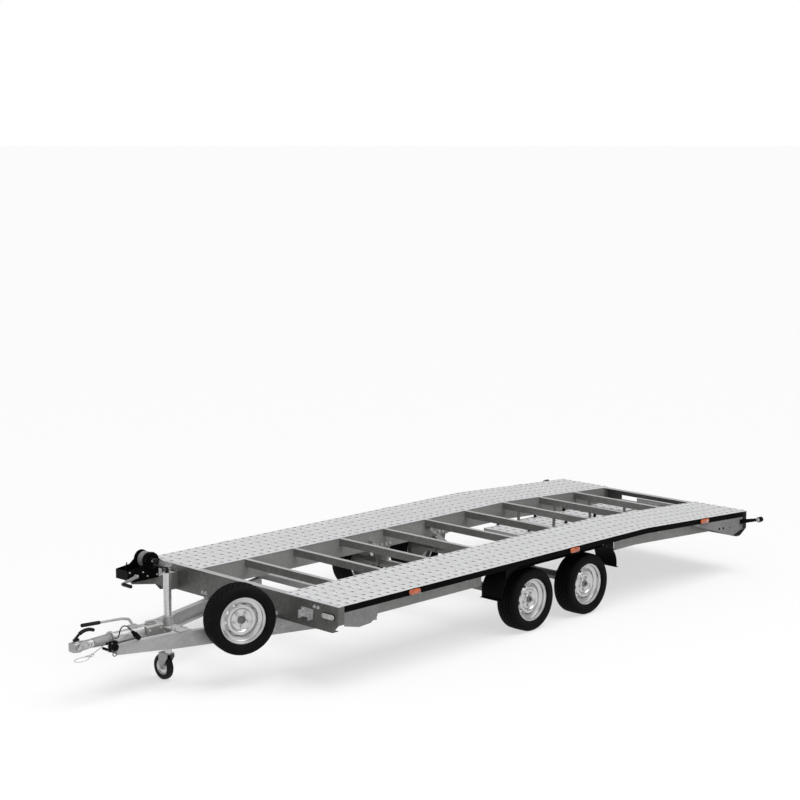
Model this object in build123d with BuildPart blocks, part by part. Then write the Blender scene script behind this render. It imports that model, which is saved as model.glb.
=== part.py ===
from build123d import *
from math import atan, cos, degrees, pi, radians, sin, tan
import os

# Car transport trailer: two perforated runways on a kinked ladder frame, tandem axles,
# V drawbar with an overrun coupling, jockey wheel, hand winch, spare wheel and stowed ramps.
# Millimetres. +X points to the coupling, +Y to the left side, +Z up. The origin is on the
# floor under the middle of the overall box.

# Driving dimensions: deck
deck_length = 5270
deck_width = 2230
kink_before_rear = 1556    # the kink lies this far ahead of the deck's rear edge
rear_drop = 84             # how far the deck's rear edge lies below its front edge
runway_width = 600
plate = 3                  # runway sheet
sheet = 4                  # folded beams
drawbar_reach = 1550       # coupling nose ahead of the deck's front edge
lamp_proud = 8             # tail lamps behind the rear beam
fit_gap = 0.3              # seat gap of loose pieces

# Frame beams
front_beam_height = 203
end_flange = 60            # flange depth of the front and rear beams
corner_in = 65             # chamfer of the end beams' lower corners, along Y and Z
main_beam_height = 165
main_flange = 50
side_beam_in = 115         # outer face of the side beams' webs inside the deck's edge
side_beam_height = 162
side_beam_shallow = 58     # height of the side beams over the wheels
side_flange = 36
rail_height = 48
rail_lip = 24
cross_count = 9
cross_width = 40
cross_height = 60
outrigger_height = 46
rear_beam_top_drop = 1
rear_beam_depth = 328      # bottom of the rear beam under the deck's front height

# Running gear
axle_at = (2242, 2968)     # distances behind the deck's front edge
tyre_radius = 262.5
deck_above_tyres = 113     # top of the runways, ahead of the kink, above the tyres' top
tyre_width = 196
rim_in = 54                # plane of the outer rim flange inside the deck's edge
rim_flange_radius = 176
rim_seat_radius = 166
rim_well_radius = 138
rim_width = 152
rim_wall = 4
disc_offset = 46           # bolt face behind the outer flange plane
bolt_circle = 56
bolt_count = 5
hub_bore = 29
drum_radius = 104
drum_width = 62
axle_tube_radius = 38
axle_ahead = 150           # torsion tube ahead of the wheel centre
axle_tube_rise = 67.5      # torsion tube above the wheel centre
guard_below = 69           # top of the mudguards under the deck's top
guard_sheet = 3
guard_inner_in = 243       # mudguard edges inside the deck's edge
guard_outer_in = 17

# Drawbar and coupling; reach means ahead of the deck's front edge
bar_front_behind = 350     # front ends of the bars behind the coupling's nose
bar_front_y = 57           # outer face of each bar at its front end
bar_slope = 0.31           # sideways run per unit of length
bar_rear = -820
bar_depth = 50
bar_wall = 5
bar_below = 218            # top of the bars under the deck's top
coupling_rise = 12         # coupling axis above the bars' top
ball_radius = 25

# Jockey wheel
jockey_behind = 860        # tube behind the coupling's nose
jockey_tube_radius = 30
jockey_tube_wall = 3.5
jockey_tube_rise = 410     # top of the outer tube above the bars' top
jockey_tube_drop = 80      # bottom of it under the bars' top
jockey_fork_top = 214
jockey_wheel_radius = 98
jockey_wheel_width = 50
jockey_trail = 62
jockey_crank_reach = 143

# Winch
winch_in = 325             # middle of the winch inside the deck's right edge
winch_arm_reach = 460
winch_arm_below = 55       # top of the arm under the deck's top
winch_width = 150
drum_at = 285              # reach of the winch drum's axis
drum_rise = 143            # drum axis above the arm
drum_flange_radius = 70

# Spare wheel
spare_at = 408             # reach of the outer rim plane's centre
spare_out = 228.48         # the same point outside the drawbar's outer face
spare_rise = 87            # its height above the bars' top
spare_turn = 20            # turned towards the front, degrees
carrier_at = 310           # reach of the carrier plate's middle on the drawbar

# Ramps under the rear of the deck
ramp_width = 410
ramp_height = 56
ramp_gap = 22
ramp_length = 2036
ramp_behind = 34           # rear ends ahead of the deck's rear edge
ramp_below = 83            # top of their rear ends under the deck's top
ramp_rise = 28             # front ends above the rear ends

overall_length = deck_length + drawbar_reach + lamp_proud
front_x = overall_length / 2 - drawbar_reach
half = deck_width / 2
inner_y = half - runway_width
rear_x = front_x - deck_length
kink_at = deck_length - kink_before_rear
deck_height = 2 * tyre_radius + deck_above_tyres
side_beam_at = half - side_beam_in
rear_beam_bottom = deck_height - rear_beam_depth
rim_outer_y = half - rim_in
axle_tube_z = tyre_radius + axle_tube_rise
guard_inner_y = half - guard_inner_in
guard_outer_y = half - guard_outer_in
bar_front = drawbar_reach - bar_front_behind
bar_top_z = deck_height - bar_below
coupling_z = bar_top_z + coupling_rise
jockey_at = drawbar_reach - jockey_behind
jockey_tube_top = bar_top_z + jockey_tube_rise
jockey_tube_bottom = bar_top_z - jockey_tube_drop
winch_y = winch_in - half
winch_arm_top = deck_height - winch_arm_below
drum_z = winch_arm_top + drum_rise
spare_z = bar_top_z + spare_rise
ramp_rear = deck_length - ramp_behind
ramp_front = ramp_rear - ramp_length
os.makedirs("parts", exist_ok=True)


def at(reach):
    """X of a place given by its distance ahead of the deck's front edge."""
    return front_x + reach


def top(behind):
    """Height of the deck's top at a distance behind its front edge."""
    return deck_height - rear_drop * max(0, behind - kink_at) / (deck_length - kink_at)


def save(part, node):
    part.label = node
    export_step(part, f"parts/{node}.step")


def outline(plane, *points):
    with BuildSketch(plane) as sketch:
        with BuildLine():
            Polyline(*points, close=True)
        make_face()
    return sketch.sketch


def upright(y, *points):
    """Outline in the plane at the given Y, whose normal points to -Y."""
    return outline(Plane.XZ.offset(-y), *points)


def across(x, *points):
    """Outline of (Y, Z) points in the plane at the given X, whose normal points to +X."""
    return outline(Plane.YZ.offset(x), *points)


def band(start, end, below, depth):
    """Side outline of a strip that follows the deck from start to end, as (X, Z) points."""
    stations = [start] + ([kink_at] if start < kink_at < end else []) + [end]
    upper = [(at(-s), top(s) - below) for s in stations]
    lower = [(at(-s), top(s) - below - depth) for s in reversed(stations)]
    return upper + lower


# Front beam: folded channel, open to the rear, its lower corners cut off
corner_z = deck_height - front_beam_height
front_face = [
    (-half, deck_height), (half, deck_height), (half, corner_z + corner_in),
    (half - corner_in, corner_z), (corner_in - half, corner_z), (-half, corner_z + corner_in),
]
ear_bracket = dict(y=half - 330, z=deck_height - 98)
with BuildPart() as front_beam:
    extrude(across(at(-sheet), *front_face), amount=sheet)
    with BuildSketch(Plane.XY.offset(deck_height - sheet)):
        with Locations((at(-end_flange / 2), 0)):
            Rectangle(end_flange, deck_width)
    extrude(amount=sheet)
    with BuildSketch(Plane.XY.offset(corner_z)):
        with Locations((at(-end_flange / 2), 0)):
            Rectangle(end_flange, deck_width - 2 * corner_in)
    extrude(amount=sheet)
    for side in (1, -1):
        with Locations((at(-end_flange / 2), side * (half - sheet / 2), deck_height)):
            Box(end_flange, sheet, front_beam_height - corner_in,
                align=(Align.CENTER, Align.CENTER, Align.MAX))
    # Bracket with two ears on the left of its face
    with Locations((front_x, ear_bracket["y"], ear_bracket["z"])):
        Box(8, 130, 70, align=(Align.MIN, Align.CENTER, Align.CENTER))
    for offset in (-52, 52):
        with Locations((front_x, ear_bracket["y"] + offset, ear_bracket["z"] - 12)):
            Box(46, 8, 60, align=(Align.MIN, Align.CENTER, Align.CENTER))
save(front_beam.part, "front_beam")

# Rear beam: deep channel with the number plate slot and two lamp windows
rear_top = top(deck_length) - rear_beam_top_drop
slot = dict(mid_y=88, width=2 * ramp_width + 40, low_z=rear_beam_bottom + 76,
            high_z=rear_beam_bottom + 190)
lamp_window = dict(y=half - 193, width=276, height=122, z=rear_beam_bottom + 106)
plate_size = (520, 110, 4)
plate_mid = (98, rear_beam_bottom + 129)
holder_gap = 3
rear_face = [
    (-half, rear_top), (half, rear_top), (half, rear_beam_bottom + corner_in + 20),
    (half - corner_in, rear_beam_bottom), (corner_in - half, rear_beam_bottom),
    (-half, rear_beam_bottom + corner_in + 20),
]
with BuildPart() as rear_beam:
    extrude(across(rear_x, *rear_face), amount=sheet)
    with Locations((rear_x + end_flange / 2, 0, rear_top)):
        Box(end_flange, deck_width, sheet, align=(Align.CENTER, Align.CENTER, Align.MAX))
    with Locations((rear_x + end_flange / 2, 0, rear_beam_bottom)):
        Box(end_flange, deck_width - 2 * corner_in, sheet,
            align=(Align.CENTER, Align.CENTER, Align.MIN))
    slot_z = (slot["low_z"] + slot["high_z"]) / 2
    with Locations((rear_x + sheet / 2, slot["mid_y"], slot_z)):
        Box(3 * sheet, slot["width"], slot["high_z"] - slot["low_z"], mode=Mode.SUBTRACT)
    for side in (1, -1):
        with Locations((rear_x + sheet / 2, side * lamp_window["y"], lamp_window["z"])):
            Box(3 * sheet, lamp_window["width"], lamp_window["height"], mode=Mode.SUBTRACT)
    # Ledge that holds the number plate
    low = plate_mid[1] - plate_size[1] / 2
    with Locations((rear_x, plate_mid[0], low)):
        Box(lamp_proud, plate_size[0] + 60, 8, align=(Align.MAX, Align.CENTER, Align.MAX))
    # It is welded from an upper and a lower channel with posts beside the slot
    for level in (slot["low_z"], slot["high_z"]):
        split(bisect_by=Plane.XY.offset(level), keep=Keep.BOTH)
save(rear_beam.part, "rear_beam")

# Main beams: channels open outwards, following the kink, with tabs that reach into the end beams
tab_below = 10
tab_overlap = 5
tab_spans = (
    (sheet, end_flange + tab_overlap),
    (deck_length - end_flange - tab_overlap, deck_length - sheet),
)
with BuildPart() as main_beam:
    extrude(upright(inner_y + sheet, *band(end_flange, deck_length - end_flange, plate + sheet,
                                           main_beam_height - sheet)), amount=sheet)
    for start, end in tab_spans:
        extrude(upright(inner_y + sheet, *band(start, end, tab_below,
                                               main_beam_height - tab_below + plate)), amount=sheet)
    for below in (plate, plate + main_beam_height - sheet):
        extrude(upright(inner_y + main_flange,
                        *band(end_flange, deck_length - end_flange, below, sheet)),
                amount=main_flange)

# Side beams: channels open inwards, shallow over the wheels, with outriggers to the rail
shallow_from = axle_at[0] - 560
shallow_to = axle_at[1] + 440
outrigger_at = [deck_length * i / (cross_count + 1) for i in range(1, cross_count + 1)]
with BuildPart() as side_beam:
    for start, end, depth in (
        (end_flange, shallow_from, side_beam_height),
        (shallow_from, shallow_to, side_beam_shallow),
        (shallow_to, deck_length - end_flange, side_beam_height),
    ):
        extrude(upright(side_beam_at, *band(start, end, plate + sheet, depth - sheet)), amount=sheet)
    for (start, end), depth in zip(tab_spans, (side_beam_height, side_beam_shallow)):
        extrude(upright(side_beam_at, *band(start, end, tab_below, depth - tab_below + plate)),
                amount=sheet)
    for start, end, below in (
        (end_flange, deck_length - end_flange, plate),
        (end_flange, shallow_from, plate + side_beam_height - sheet),
        (shallow_to, deck_length - end_flange, plate + side_beam_height - sheet),
    ):
        extrude(upright(side_beam_at, *band(start, end, below, sheet)), amount=side_flange)

# Both long beams of a side
with BuildPart() as long_beams:
    add(main_beam.part)
    add(side_beam.part)
save(long_beams.part, "long_beams_left")
save(mirror(long_beams.part, about=Plane.XZ), "long_beams_right")

# Side rails: outer edge of the deck with a lip under the runway, a stepped gusset behind the
# front beam and a wedge ahead of the rear beam
gusset_start = deck_length - 860
gusset_low = (deck_length - 230, deck_height - 284)
gusset_holes = ((deck_length - 440, 8), (deck_length - 375, 8), (deck_length - 270, 11))
front_gusset = [
    (end_flange, deck_height - rail_height), (end_flange, deck_height - 152),
    (210, deck_height - 186), (330, deck_height - 178), (400, deck_height - 138),
    (405, deck_height - rail_height),
]
rear_gusset = [
    (gusset_start, top(gusset_start) - rail_height), gusset_low,
    (deck_length - end_flange, rear_beam_bottom + corner_in + 20),
    (deck_length - end_flange, top(deck_length - end_flange) - rail_height),
]
with BuildPart() as side_rail:
    extrude(upright(half, *band(end_flange, deck_length - end_flange, 0, rail_height)), amount=sheet)
    extrude(upright(half - sheet, *band(end_flange, deck_length - end_flange, plate, sheet)),
            amount=rail_lip)
    for points in (front_gusset, rear_gusset):
        extrude(upright(half, *[(at(-s), z) for s, z in points]), amount=sheet)
    for station, radius in gusset_holes:
        with Locations((at(-station), half - sheet / 2, top(station) - 125)):
            Cylinder(radius, 3 * sheet, rotation=(90, 0, 0), mode=Mode.SUBTRACT)
save(side_rail.part, "side_rail_left")
save(mirror(side_rail.part, about=Plane.XZ), "side_rail_right")

# Runways: two sheets that follow the kink
with BuildPart() as runway:
    extrude(upright(half - sheet, *band(end_flange, deck_length - end_flange, 0, plate)),
            amount=runway_width - sheet)
save(runway.part, "runway_left")
save(mirror(runway.part, about=Plane.XZ), "runway_right")

# Cross members between the main beams, and outriggers under the runways
with BuildPart() as cross_members:
    for station in outrigger_at:
        x, z = at(-station), top(station) - plate
        w, h = cross_width / 2, cross_height
        section = [
            (x - w, z - h), (x - w, z), (x + w, z), (x + w, z - h), (x + w - sheet, z - h),
            (x + w - sheet, z - sheet), (x - w + sheet, z - sheet), (x - w + sheet, z - h),
        ]
        extrude(upright(inner_y, *section), amount=2 * inner_y)
        high = top(station + sheet / 2) - plate - sheet
        y_in, y_out = inner_y + sheet, side_beam_at - sheet
        for side in (1, -1):
            with Locations((at(-station), side * (y_in + y_out) / 2, high)):
                Box(sheet, y_out - y_in, outrigger_height,
                    align=(Align.CENTER, Align.CENTER, Align.MAX))
            with Locations((at(-station), side * (side_beam_at + half - sheet) / 2, high)):
                Box(sheet, half - sheet - side_beam_at, outrigger_height - 2 * sheet,
                    align=(Align.CENTER, Align.CENTER, Align.MAX))
save(cross_members.part, "cross_members")


# Drawbar: two tapered channels open inwards
def bar_y(reach):
    """Outer face of a drawbar channel, measured sideways from the middle."""
    return bar_front_y + bar_slope * (bar_front - reach)


bar_angle = degrees(atan(bar_slope))
bar_run = (bar_front - bar_rear) / cos(radians(bar_angle))
bar_plane = Plane(
    origin=(at(bar_front), bar_front_y, 0),
    x_dir=(-cos(radians(bar_angle)), sin(radians(bar_angle)), 0),
    z_dir=(-sin(radians(bar_angle)), -cos(radians(bar_angle)), 0),
)
# (run from the front end, top, bottom)
bar_stations = (
    (0, bar_top_z - 32, bar_top_z - 104), (240, bar_top_z - 12, bar_top_z - 110),
    (440, bar_top_z, bar_top_z - 118), (bar_run, bar_top_z, bar_top_z - 118),
)
bar_upper = [(run, high) for run, high, low in bar_stations]
bar_lower = [(run, low) for run, high, low in reversed(bar_stations)]
pocket_upper = [(run, high - bar_wall) for run, high, low in bar_stations]
pocket_lower = [(run, low + bar_wall) for run, high, low in reversed(bar_stations)]
with BuildPart() as drawbar:
    with BuildSketch(bar_plane):
        with BuildLine():
            Polyline(*[(a, -b) for a, b in bar_upper + bar_lower], close=True)
        make_face()
    extrude(amount=bar_depth)
    with BuildSketch(bar_plane.offset(bar_wall)):
        with BuildLine():
            Polyline(*[(a, -b) for a, b in pocket_upper + pocket_lower], close=True)
        make_face()
    extrude(amount=bar_depth, mode=Mode.SUBTRACT)
save(drawbar.part, "drawbar_left")
save(mirror(drawbar.part, about=Plane.XZ), "drawbar_right")

# Crossbeam that carries the drawbar's rear ends, and spacers under the front beam
main_beam_low = deck_height - plate - main_beam_height
crossbeam = dict(at=-770, width=60, half_length=half - 415)
with BuildPart() as drawbar_crossbeam:
    x, w = at(crossbeam["at"]), crossbeam["width"] / 2
    section = [
        (x - w, bar_top_z), (x - w, main_beam_low), (x + w, main_beam_low), (x + w, bar_top_z),
        (x + w - sheet, bar_top_z), (x + w - sheet, main_beam_low - sheet),
        (x - w + sheet, main_beam_low - sheet), (x - w + sheet, bar_top_z),
    ]
    extrude(upright(crossbeam["half_length"], *section), amount=2 * crossbeam["half_length"])
    for side in (1, -1):
        spacer_y = side * (bar_y(-end_flange / 2) - bar_depth / 2)
        with Locations((at(-end_flange / 2), spacer_y, bar_top_z)):
            Box(end_flange - 10, bar_depth - 6, corner_z - bar_top_z,
                align=(Align.CENTER, Align.CENTER, Align.MIN))
save(drawbar_crossbeam.part, "drawbar_crossbeam")

# Overrun housing between the drawbar channels
housing_rear, housing_front = drawbar_reach - 790, drawbar_reach - 331
tube_rear = housing_rear + 170
base_rear, base_front = housing_rear + 200, bar_front - 10
housing_radius = 42
base_low, base_high = coupling_z - 107, coupling_z - 49
block_half, block_top, block_low = 55, coupling_z - 20, coupling_z - 92
housing_side_gap = 2
with BuildPart() as overrun_housing:
    with BuildSketch(Plane.YZ.offset(at(tube_rear))):
        with Locations((0, coupling_z)):
            Circle(housing_radius)
    extrude(amount=housing_front - tube_rear)
    with BuildSketch(Plane.YZ.offset(at(housing_front - 14))):
        with Locations((0, coupling_z)):
            Circle(housing_radius + 12)
    extrude(amount=14)
    with BuildSketch(Plane.XY.offset(base_low)):
        with BuildLine():
            wall_y = bar_wall / cos(radians(bar_angle)) + housing_side_gap
            rear_half, front_half = bar_y(base_rear) - wall_y, bar_y(base_front) - wall_y
            Polyline((at(base_rear), -rear_half), (at(base_front), -front_half),
                     (at(base_front), front_half), (at(base_rear), rear_half), close=True)
        make_face()
    extrude(amount=base_high - base_low)
    with Locations((at(tube_rear), 0, base_high)):
        Box(250, 16, coupling_z - base_high, align=(Align.MIN, Align.CENTER, Align.MIN))
    with Locations((at(housing_rear), 0, block_low)):
        Box(220, 2 * block_half, block_top - block_low, align=(Align.MIN, Align.CENTER, Align.MIN))
save(overrun_housing.part, "overrun_housing")

# Folded cover over the block, with an oval boss for the brake linkage
cover = dict(rear=housing_rear + 15, front=housing_rear + 168, wall=4, rise=56, skirt=34, corner=12)
boss = dict(length=92, width=54, rim=7, height=13)
with BuildPart() as brake_cover:
    length, cover_half = cover["front"] - cover["rear"], block_half + fit_gap + cover["wall"]
    cover_low, cover_top = block_top - cover["skirt"], block_top + cover["rise"]
    with BuildSketch(Plane.YZ.offset(at(cover["rear"]))):
        with Locations((0, (cover_low + cover_top) / 2)):
            Rectangle(2 * cover_half, cover_top - cover_low)
    extrude(amount=length)
    fillet(brake_cover.edges().filter_by(Axis.X).group_by(Axis.Z)[-1], cover["corner"])
    with Locations((at(cover["rear"]) - 1, 0, cover_low - 1)):
        Box(length + 2, 2 * (block_half + fit_gap), cover["skirt"] + 1 + fit_gap,
            align=(Align.MIN, Align.CENTER, Align.MIN), mode=Mode.SUBTRACT)
    with BuildSketch(Plane.XY.offset(cover_top)):
        with Locations((at(cover["rear"] + length / 2), 0)):
            SlotOverall(boss["length"], boss["width"])
            SlotOverall(boss["length"] - 2 * boss["rim"], boss["width"] - 2 * boss["rim"],
                        mode=Mode.SUBTRACT)
    extrude(amount=boss["height"])
save(brake_cover.part, "brake_cover")

# Bellows over the draw tube
bellows_rear, bellows_front = housing_front + fit_gap, drawbar_reach - 178
draw_radius = 25
fold_count = 6
fold = (bellows_front - bellows_rear) / fold_count
with BuildPart() as bellows:
    with BuildSketch(Plane.XZ):
        with BuildLine():
            crest = [(at(bellows_rear), coupling_z + 30)]
            for i in range(fold_count):
                crest.append((at(bellows_rear + fold * (i + 0.5)), coupling_z + 41))
                crest.append((at(bellows_rear + fold * (i + 1)), coupling_z + 30))
            Polyline((at(bellows_rear), coupling_z + draw_radius + fit_gap), *crest,
                     (at(bellows_front), coupling_z + draw_radius + fit_gap), close=True)
        make_face()
    revolve(axis=Axis((0, 0, coupling_z), (1, 0, 0)))
save(bellows.part, "bellows")

# Ball coupling on the draw tube
head_radius = 38
ball_reach = drawbar_reach - head_radius
ball_z = coupling_z - 8
head_low = coupling_z - 34
with BuildPart() as coupling_head:
    with BuildSketch(Plane.YZ.offset(at(housing_front))):
        with Locations((0, coupling_z)):
            Circle(draw_radius)
    extrude(amount=drawbar_reach - 130 - housing_front)
    with BuildSketch(Plane.YZ.offset(at(bellows_front + 8))):
        with Locations((0, coupling_z)):
            Circle(33)
    extrude(amount=60)
    with BuildSketch(Plane.YZ.offset(at(drawbar_reach - 125))) as neck:
        with Locations((0, coupling_z)):
            RectangleRounded(60, 60, 14)
    with BuildSketch(Plane.YZ.offset(at(ball_reach))) as shoulder:
        with Locations((0, coupling_z)):
            RectangleRounded(2 * head_radius - 1, 67, 14)
    loft([neck.sketch, shoulder.sketch])
    with BuildSketch(Plane.XY.offset(head_low)):
        with Locations((at(ball_reach), 0)):
            Circle(head_radius)
    extrude(amount=40)
    with Locations((at(ball_reach), 0, head_low + 40)):
        Sphere(head_radius)
    with Locations((at(ball_reach), 0, ball_z)):
        Sphere(ball_radius + fit_gap, mode=Mode.SUBTRACT)
    with BuildSketch(Plane.XY.offset(head_low - 1)):
        with Locations((at(ball_reach), 0)):
            Circle(ball_radius + fit_gap)
    extrude(amount=ball_z - head_low + 1, mode=Mode.SUBTRACT)
save(coupling_head.part, "coupling_head")

# Coupling handle: a curved lever on its base, with a thick moulded grip
head_top = head_low + 40 + head_radius
handle_grip = dict(start=0.3, end=1, half_height=13, half_width=17)
with BuildPart() as coupling_handle:
    with Locations((at(ball_reach), 0, head_top + fit_gap)):
        Box(44, 22, 14, align=(Align.CENTER, Align.CENTER, Align.MIN))
    with BuildLine(Plane.XZ) as handle_path:
        arc = ThreePointArc((at(ball_reach + 6), head_top + 10), (at(ball_reach - 60), head_top + 58),
                            (at(ball_reach - 150), head_top + 50))
    with BuildSketch(Plane(origin=arc @ 0, z_dir=arc % 0)):
        Ellipse(9, 12)
    sweep(path=handle_path.line)
    with BuildLine(Plane.XZ) as grip_line:
        ThreePointArc((arc @ handle_grip["start"]), arc @ 0.65, arc @ handle_grip["end"])
    grip_arc = grip_line.line
    with BuildSketch(Plane(origin=grip_arc @ 0, z_dir=grip_arc % 0)):
        Ellipse(handle_grip["half_height"], handle_grip["half_width"])
    sweep(path=grip_arc)
save(coupling_handle.part, "coupling_handle")

# Handbrake lever with its bracket, and its grip
lever_foot = housing_rear + 252
lever_points = (
    (lever_foot, coupling_z + 56), (lever_foot + 34, coupling_z + 112),
    (lever_foot + 100, coupling_z + 128), (lever_foot + 290, coupling_z + 138),
)
with BuildPart() as handbrake_lever:
    with BuildLine(Plane.XZ) as lever_path:
        FilletPolyline(*[(at(a), z) for a, z in lever_points], radius=30)
    with BuildSketch(Plane(origin=lever_path.line @ 0, z_dir=lever_path.line % 0)):
        Ellipse(10, 6)
    sweep(path=lever_path.line)
    with Locations((at(lever_foot), 0, coupling_z + housing_radius - 2)):
        Box(70, 30, 20, align=(Align.CENTER, Align.CENTER, Align.MIN))
    with BuildSketch(Plane.YZ.offset(at(tube_rear))):
        with Locations((0, coupling_z)):
            Circle(housing_radius + fit_gap)
    extrude(amount=housing_front - tube_rear, mode=Mode.SUBTRACT)
save(handbrake_lever.part, "handbrake_lever")

grip_direction = lever_path.line % 1
with BuildPart() as handbrake_grip:
    with BuildSketch(Plane(origin=lever_path.line @ 1, z_dir=grip_direction)):
        Circle(14)
    extrude(amount=165)
    fillet(handbrake_grip.edges().filter_by(GeomType.CIRCLE), 5)
save(handbrake_grip.part, "handbrake_grip")

# Jockey wheel: cross plate and clamp on the drawbar
tube_x = at(jockey_at)
clamp_top = bar_top_z + 80
with BuildPart() as jockey_clamp:
    with Locations((tube_x, 0, bar_top_z)):
        Box(108, 2 * (bar_y(jockey_at) - 4), 8, align=(Align.CENTER, Align.CENTER, Align.MIN))
    with Locations((tube_x, 0, bar_top_z)):
        Cylinder(jockey_tube_radius + 8, clamp_top - bar_top_z,
                 align=(Align.CENTER, Align.CENTER, Align.MIN))
    with Locations((tube_x - jockey_tube_radius - 18, 0, clamp_top)):
        Box(36, 26, clamp_top - bar_top_z, align=(Align.CENTER, Align.CENTER, Align.MAX))
    with Locations((tube_x, 0, bar_top_z - 1)):
        Cylinder(jockey_tube_radius + fit_gap, clamp_top - bar_top_z + 2,
                 align=(Align.CENTER, Align.CENTER, Align.MIN), mode=Mode.SUBTRACT)
save(jockey_clamp.part, "jockey_clamp")

tube_bore = jockey_tube_radius - jockey_tube_wall
with BuildPart() as jockey_outer_tube:
    with Locations((tube_x, 0, jockey_tube_bottom)):
        Cylinder(jockey_tube_radius, jockey_tube_top - jockey_tube_bottom,
                 align=(Align.CENTER, Align.CENTER, Align.MIN))
    with Locations((tube_x, 0, jockey_tube_bottom - 1)):
        Cylinder(tube_bore, jockey_tube_top - jockey_tube_bottom - 9,
                 align=(Align.CENTER, Align.CENTER, Align.MIN), mode=Mode.SUBTRACT)
    with Locations((tube_x, 0, jockey_tube_top)):
        Cylinder(8 + fit_gap, 40, mode=Mode.SUBTRACT)
save(jockey_outer_tube.part, "jockey_outer_tube")

inner_radius = tube_bore - 0.1
inner_low, inner_high = jockey_fork_top + 2, jockey_tube_top - 140
with BuildPart() as jockey_inner_tube:
    with Locations((tube_x, 0, inner_low)):
        Cylinder(inner_radius, inner_high - inner_low,
                 align=(Align.CENTER, Align.CENTER, Align.MIN))
    with Locations((tube_x, 0, inner_low + 10)):
        Cylinder(inner_radius - 3, inner_high - inner_low,
                 align=(Align.CENTER, Align.CENTER, Align.MIN), mode=Mode.SUBTRACT)
save(jockey_inner_tube.part, "jockey_inner_tube")

with BuildPart() as jockey_crank:
    with Locations((tube_x, 0, jockey_tube_top - 8)):
        Cylinder(8, 46, align=(Align.CENTER, Align.CENTER, Align.MIN))
    with Locations((tube_x, 0, jockey_tube_top + 0.5)):
        Cylinder(14, 18, align=(Align.CENTER, Align.CENTER, Align.MIN))
    arm_z = jockey_tube_top + 30
    with Locations((tube_x, -jockey_crank_reach / 2, arm_z)):
        Box(20, jockey_crank_reach + 20, 6, align=(Align.CENTER, Align.CENTER, Align.MIN))
    with Locations((tube_x, -jockey_crank_reach, arm_z)):
        Cylinder(7, 26, align=(Align.CENTER, Align.CENTER, Align.MIN))
        with Locations((0, 0, 24)):
            Cylinder(19, 24, align=(Align.CENTER, Align.CENTER, Align.MIN))
save(jockey_crank.part, "jockey_crank")

# Jockey fork: legs on both sides of the wheel, its axle along X, trailing to -Y
axle_z = jockey_wheel_radius
leg_in = jockey_wheel_width / 2 + 7
leg_thick = 4
pin_radius = 8
with BuildPart() as jockey_fork:
    leg = [
        (26, jockey_fork_top), (26, jockey_fork_top - 30), (-jockey_trail + 16, axle_z - 10),
        (-jockey_trail, axle_z - 18), (-jockey_trail - 16, axle_z - 8),
        (-jockey_trail - 14, jockey_fork_top),
    ]
    for start in (leg_in, -leg_in - leg_thick):
        extrude(across(tube_x + start, *leg), amount=leg_thick)
    deck_y = (26 - jockey_trail - 14) / 2
    with Locations((tube_x, deck_y, jockey_fork_top)):
        Box(2 * (leg_in + leg_thick), 26 + jockey_trail + 14, 6,
            align=(Align.CENTER, Align.CENTER, Align.MAX))
    with Locations((tube_x, 0, jockey_fork_top)):
        Cylinder(18, inner_low - jockey_fork_top - fit_gap,
                 align=(Align.CENTER, Align.CENTER, Align.MIN))
    with BuildSketch(Plane.YZ.offset(tube_x - leg_in - leg_thick - 6)):
        with Locations((-jockey_trail, axle_z)):
            Circle(pin_radius)
    extrude(amount=2 * (leg_in + leg_thick + 6))
save(jockey_fork.part, "jockey_fork")


def turned(plane, profile):
    """Ring or disc turned about the plane's local X axis; profile gives (along, radius)."""
    with BuildPart() as ring:
        with BuildSketch(plane):
            with BuildLine():
                Polyline(*profile, close=True)
            make_face()
        revolve(axis=Axis(plane.origin, plane.x_dir))
    return ring.part


jockey_plane = Plane(origin=(tube_x, -jockey_trail, axle_z), x_dir=(1, 0, 0), z_dir=(0, -1, 0))
w = jockey_wheel_width / 2
bore = pin_radius + 0.06
save(turned(jockey_plane, [
    (-w, bore), (-w, 18), (-6, 22), (-6, 48), (-w + 7, 54), (-w + 7, 62),
    (w - 7, 62), (w - 7, 54), (6, 48), (6, 22), (w, 18), (w, bore),
]), "jockey_rim")
save(turned(jockey_plane, [
    (-w + 7, 62), (-w, 68), (-w, 86), (-w + 9, jockey_wheel_radius),
    (w - 9, jockey_wheel_radius), (w, 86), (w, 68), (w - 7, 62),
]), "jockey_tyre")


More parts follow.
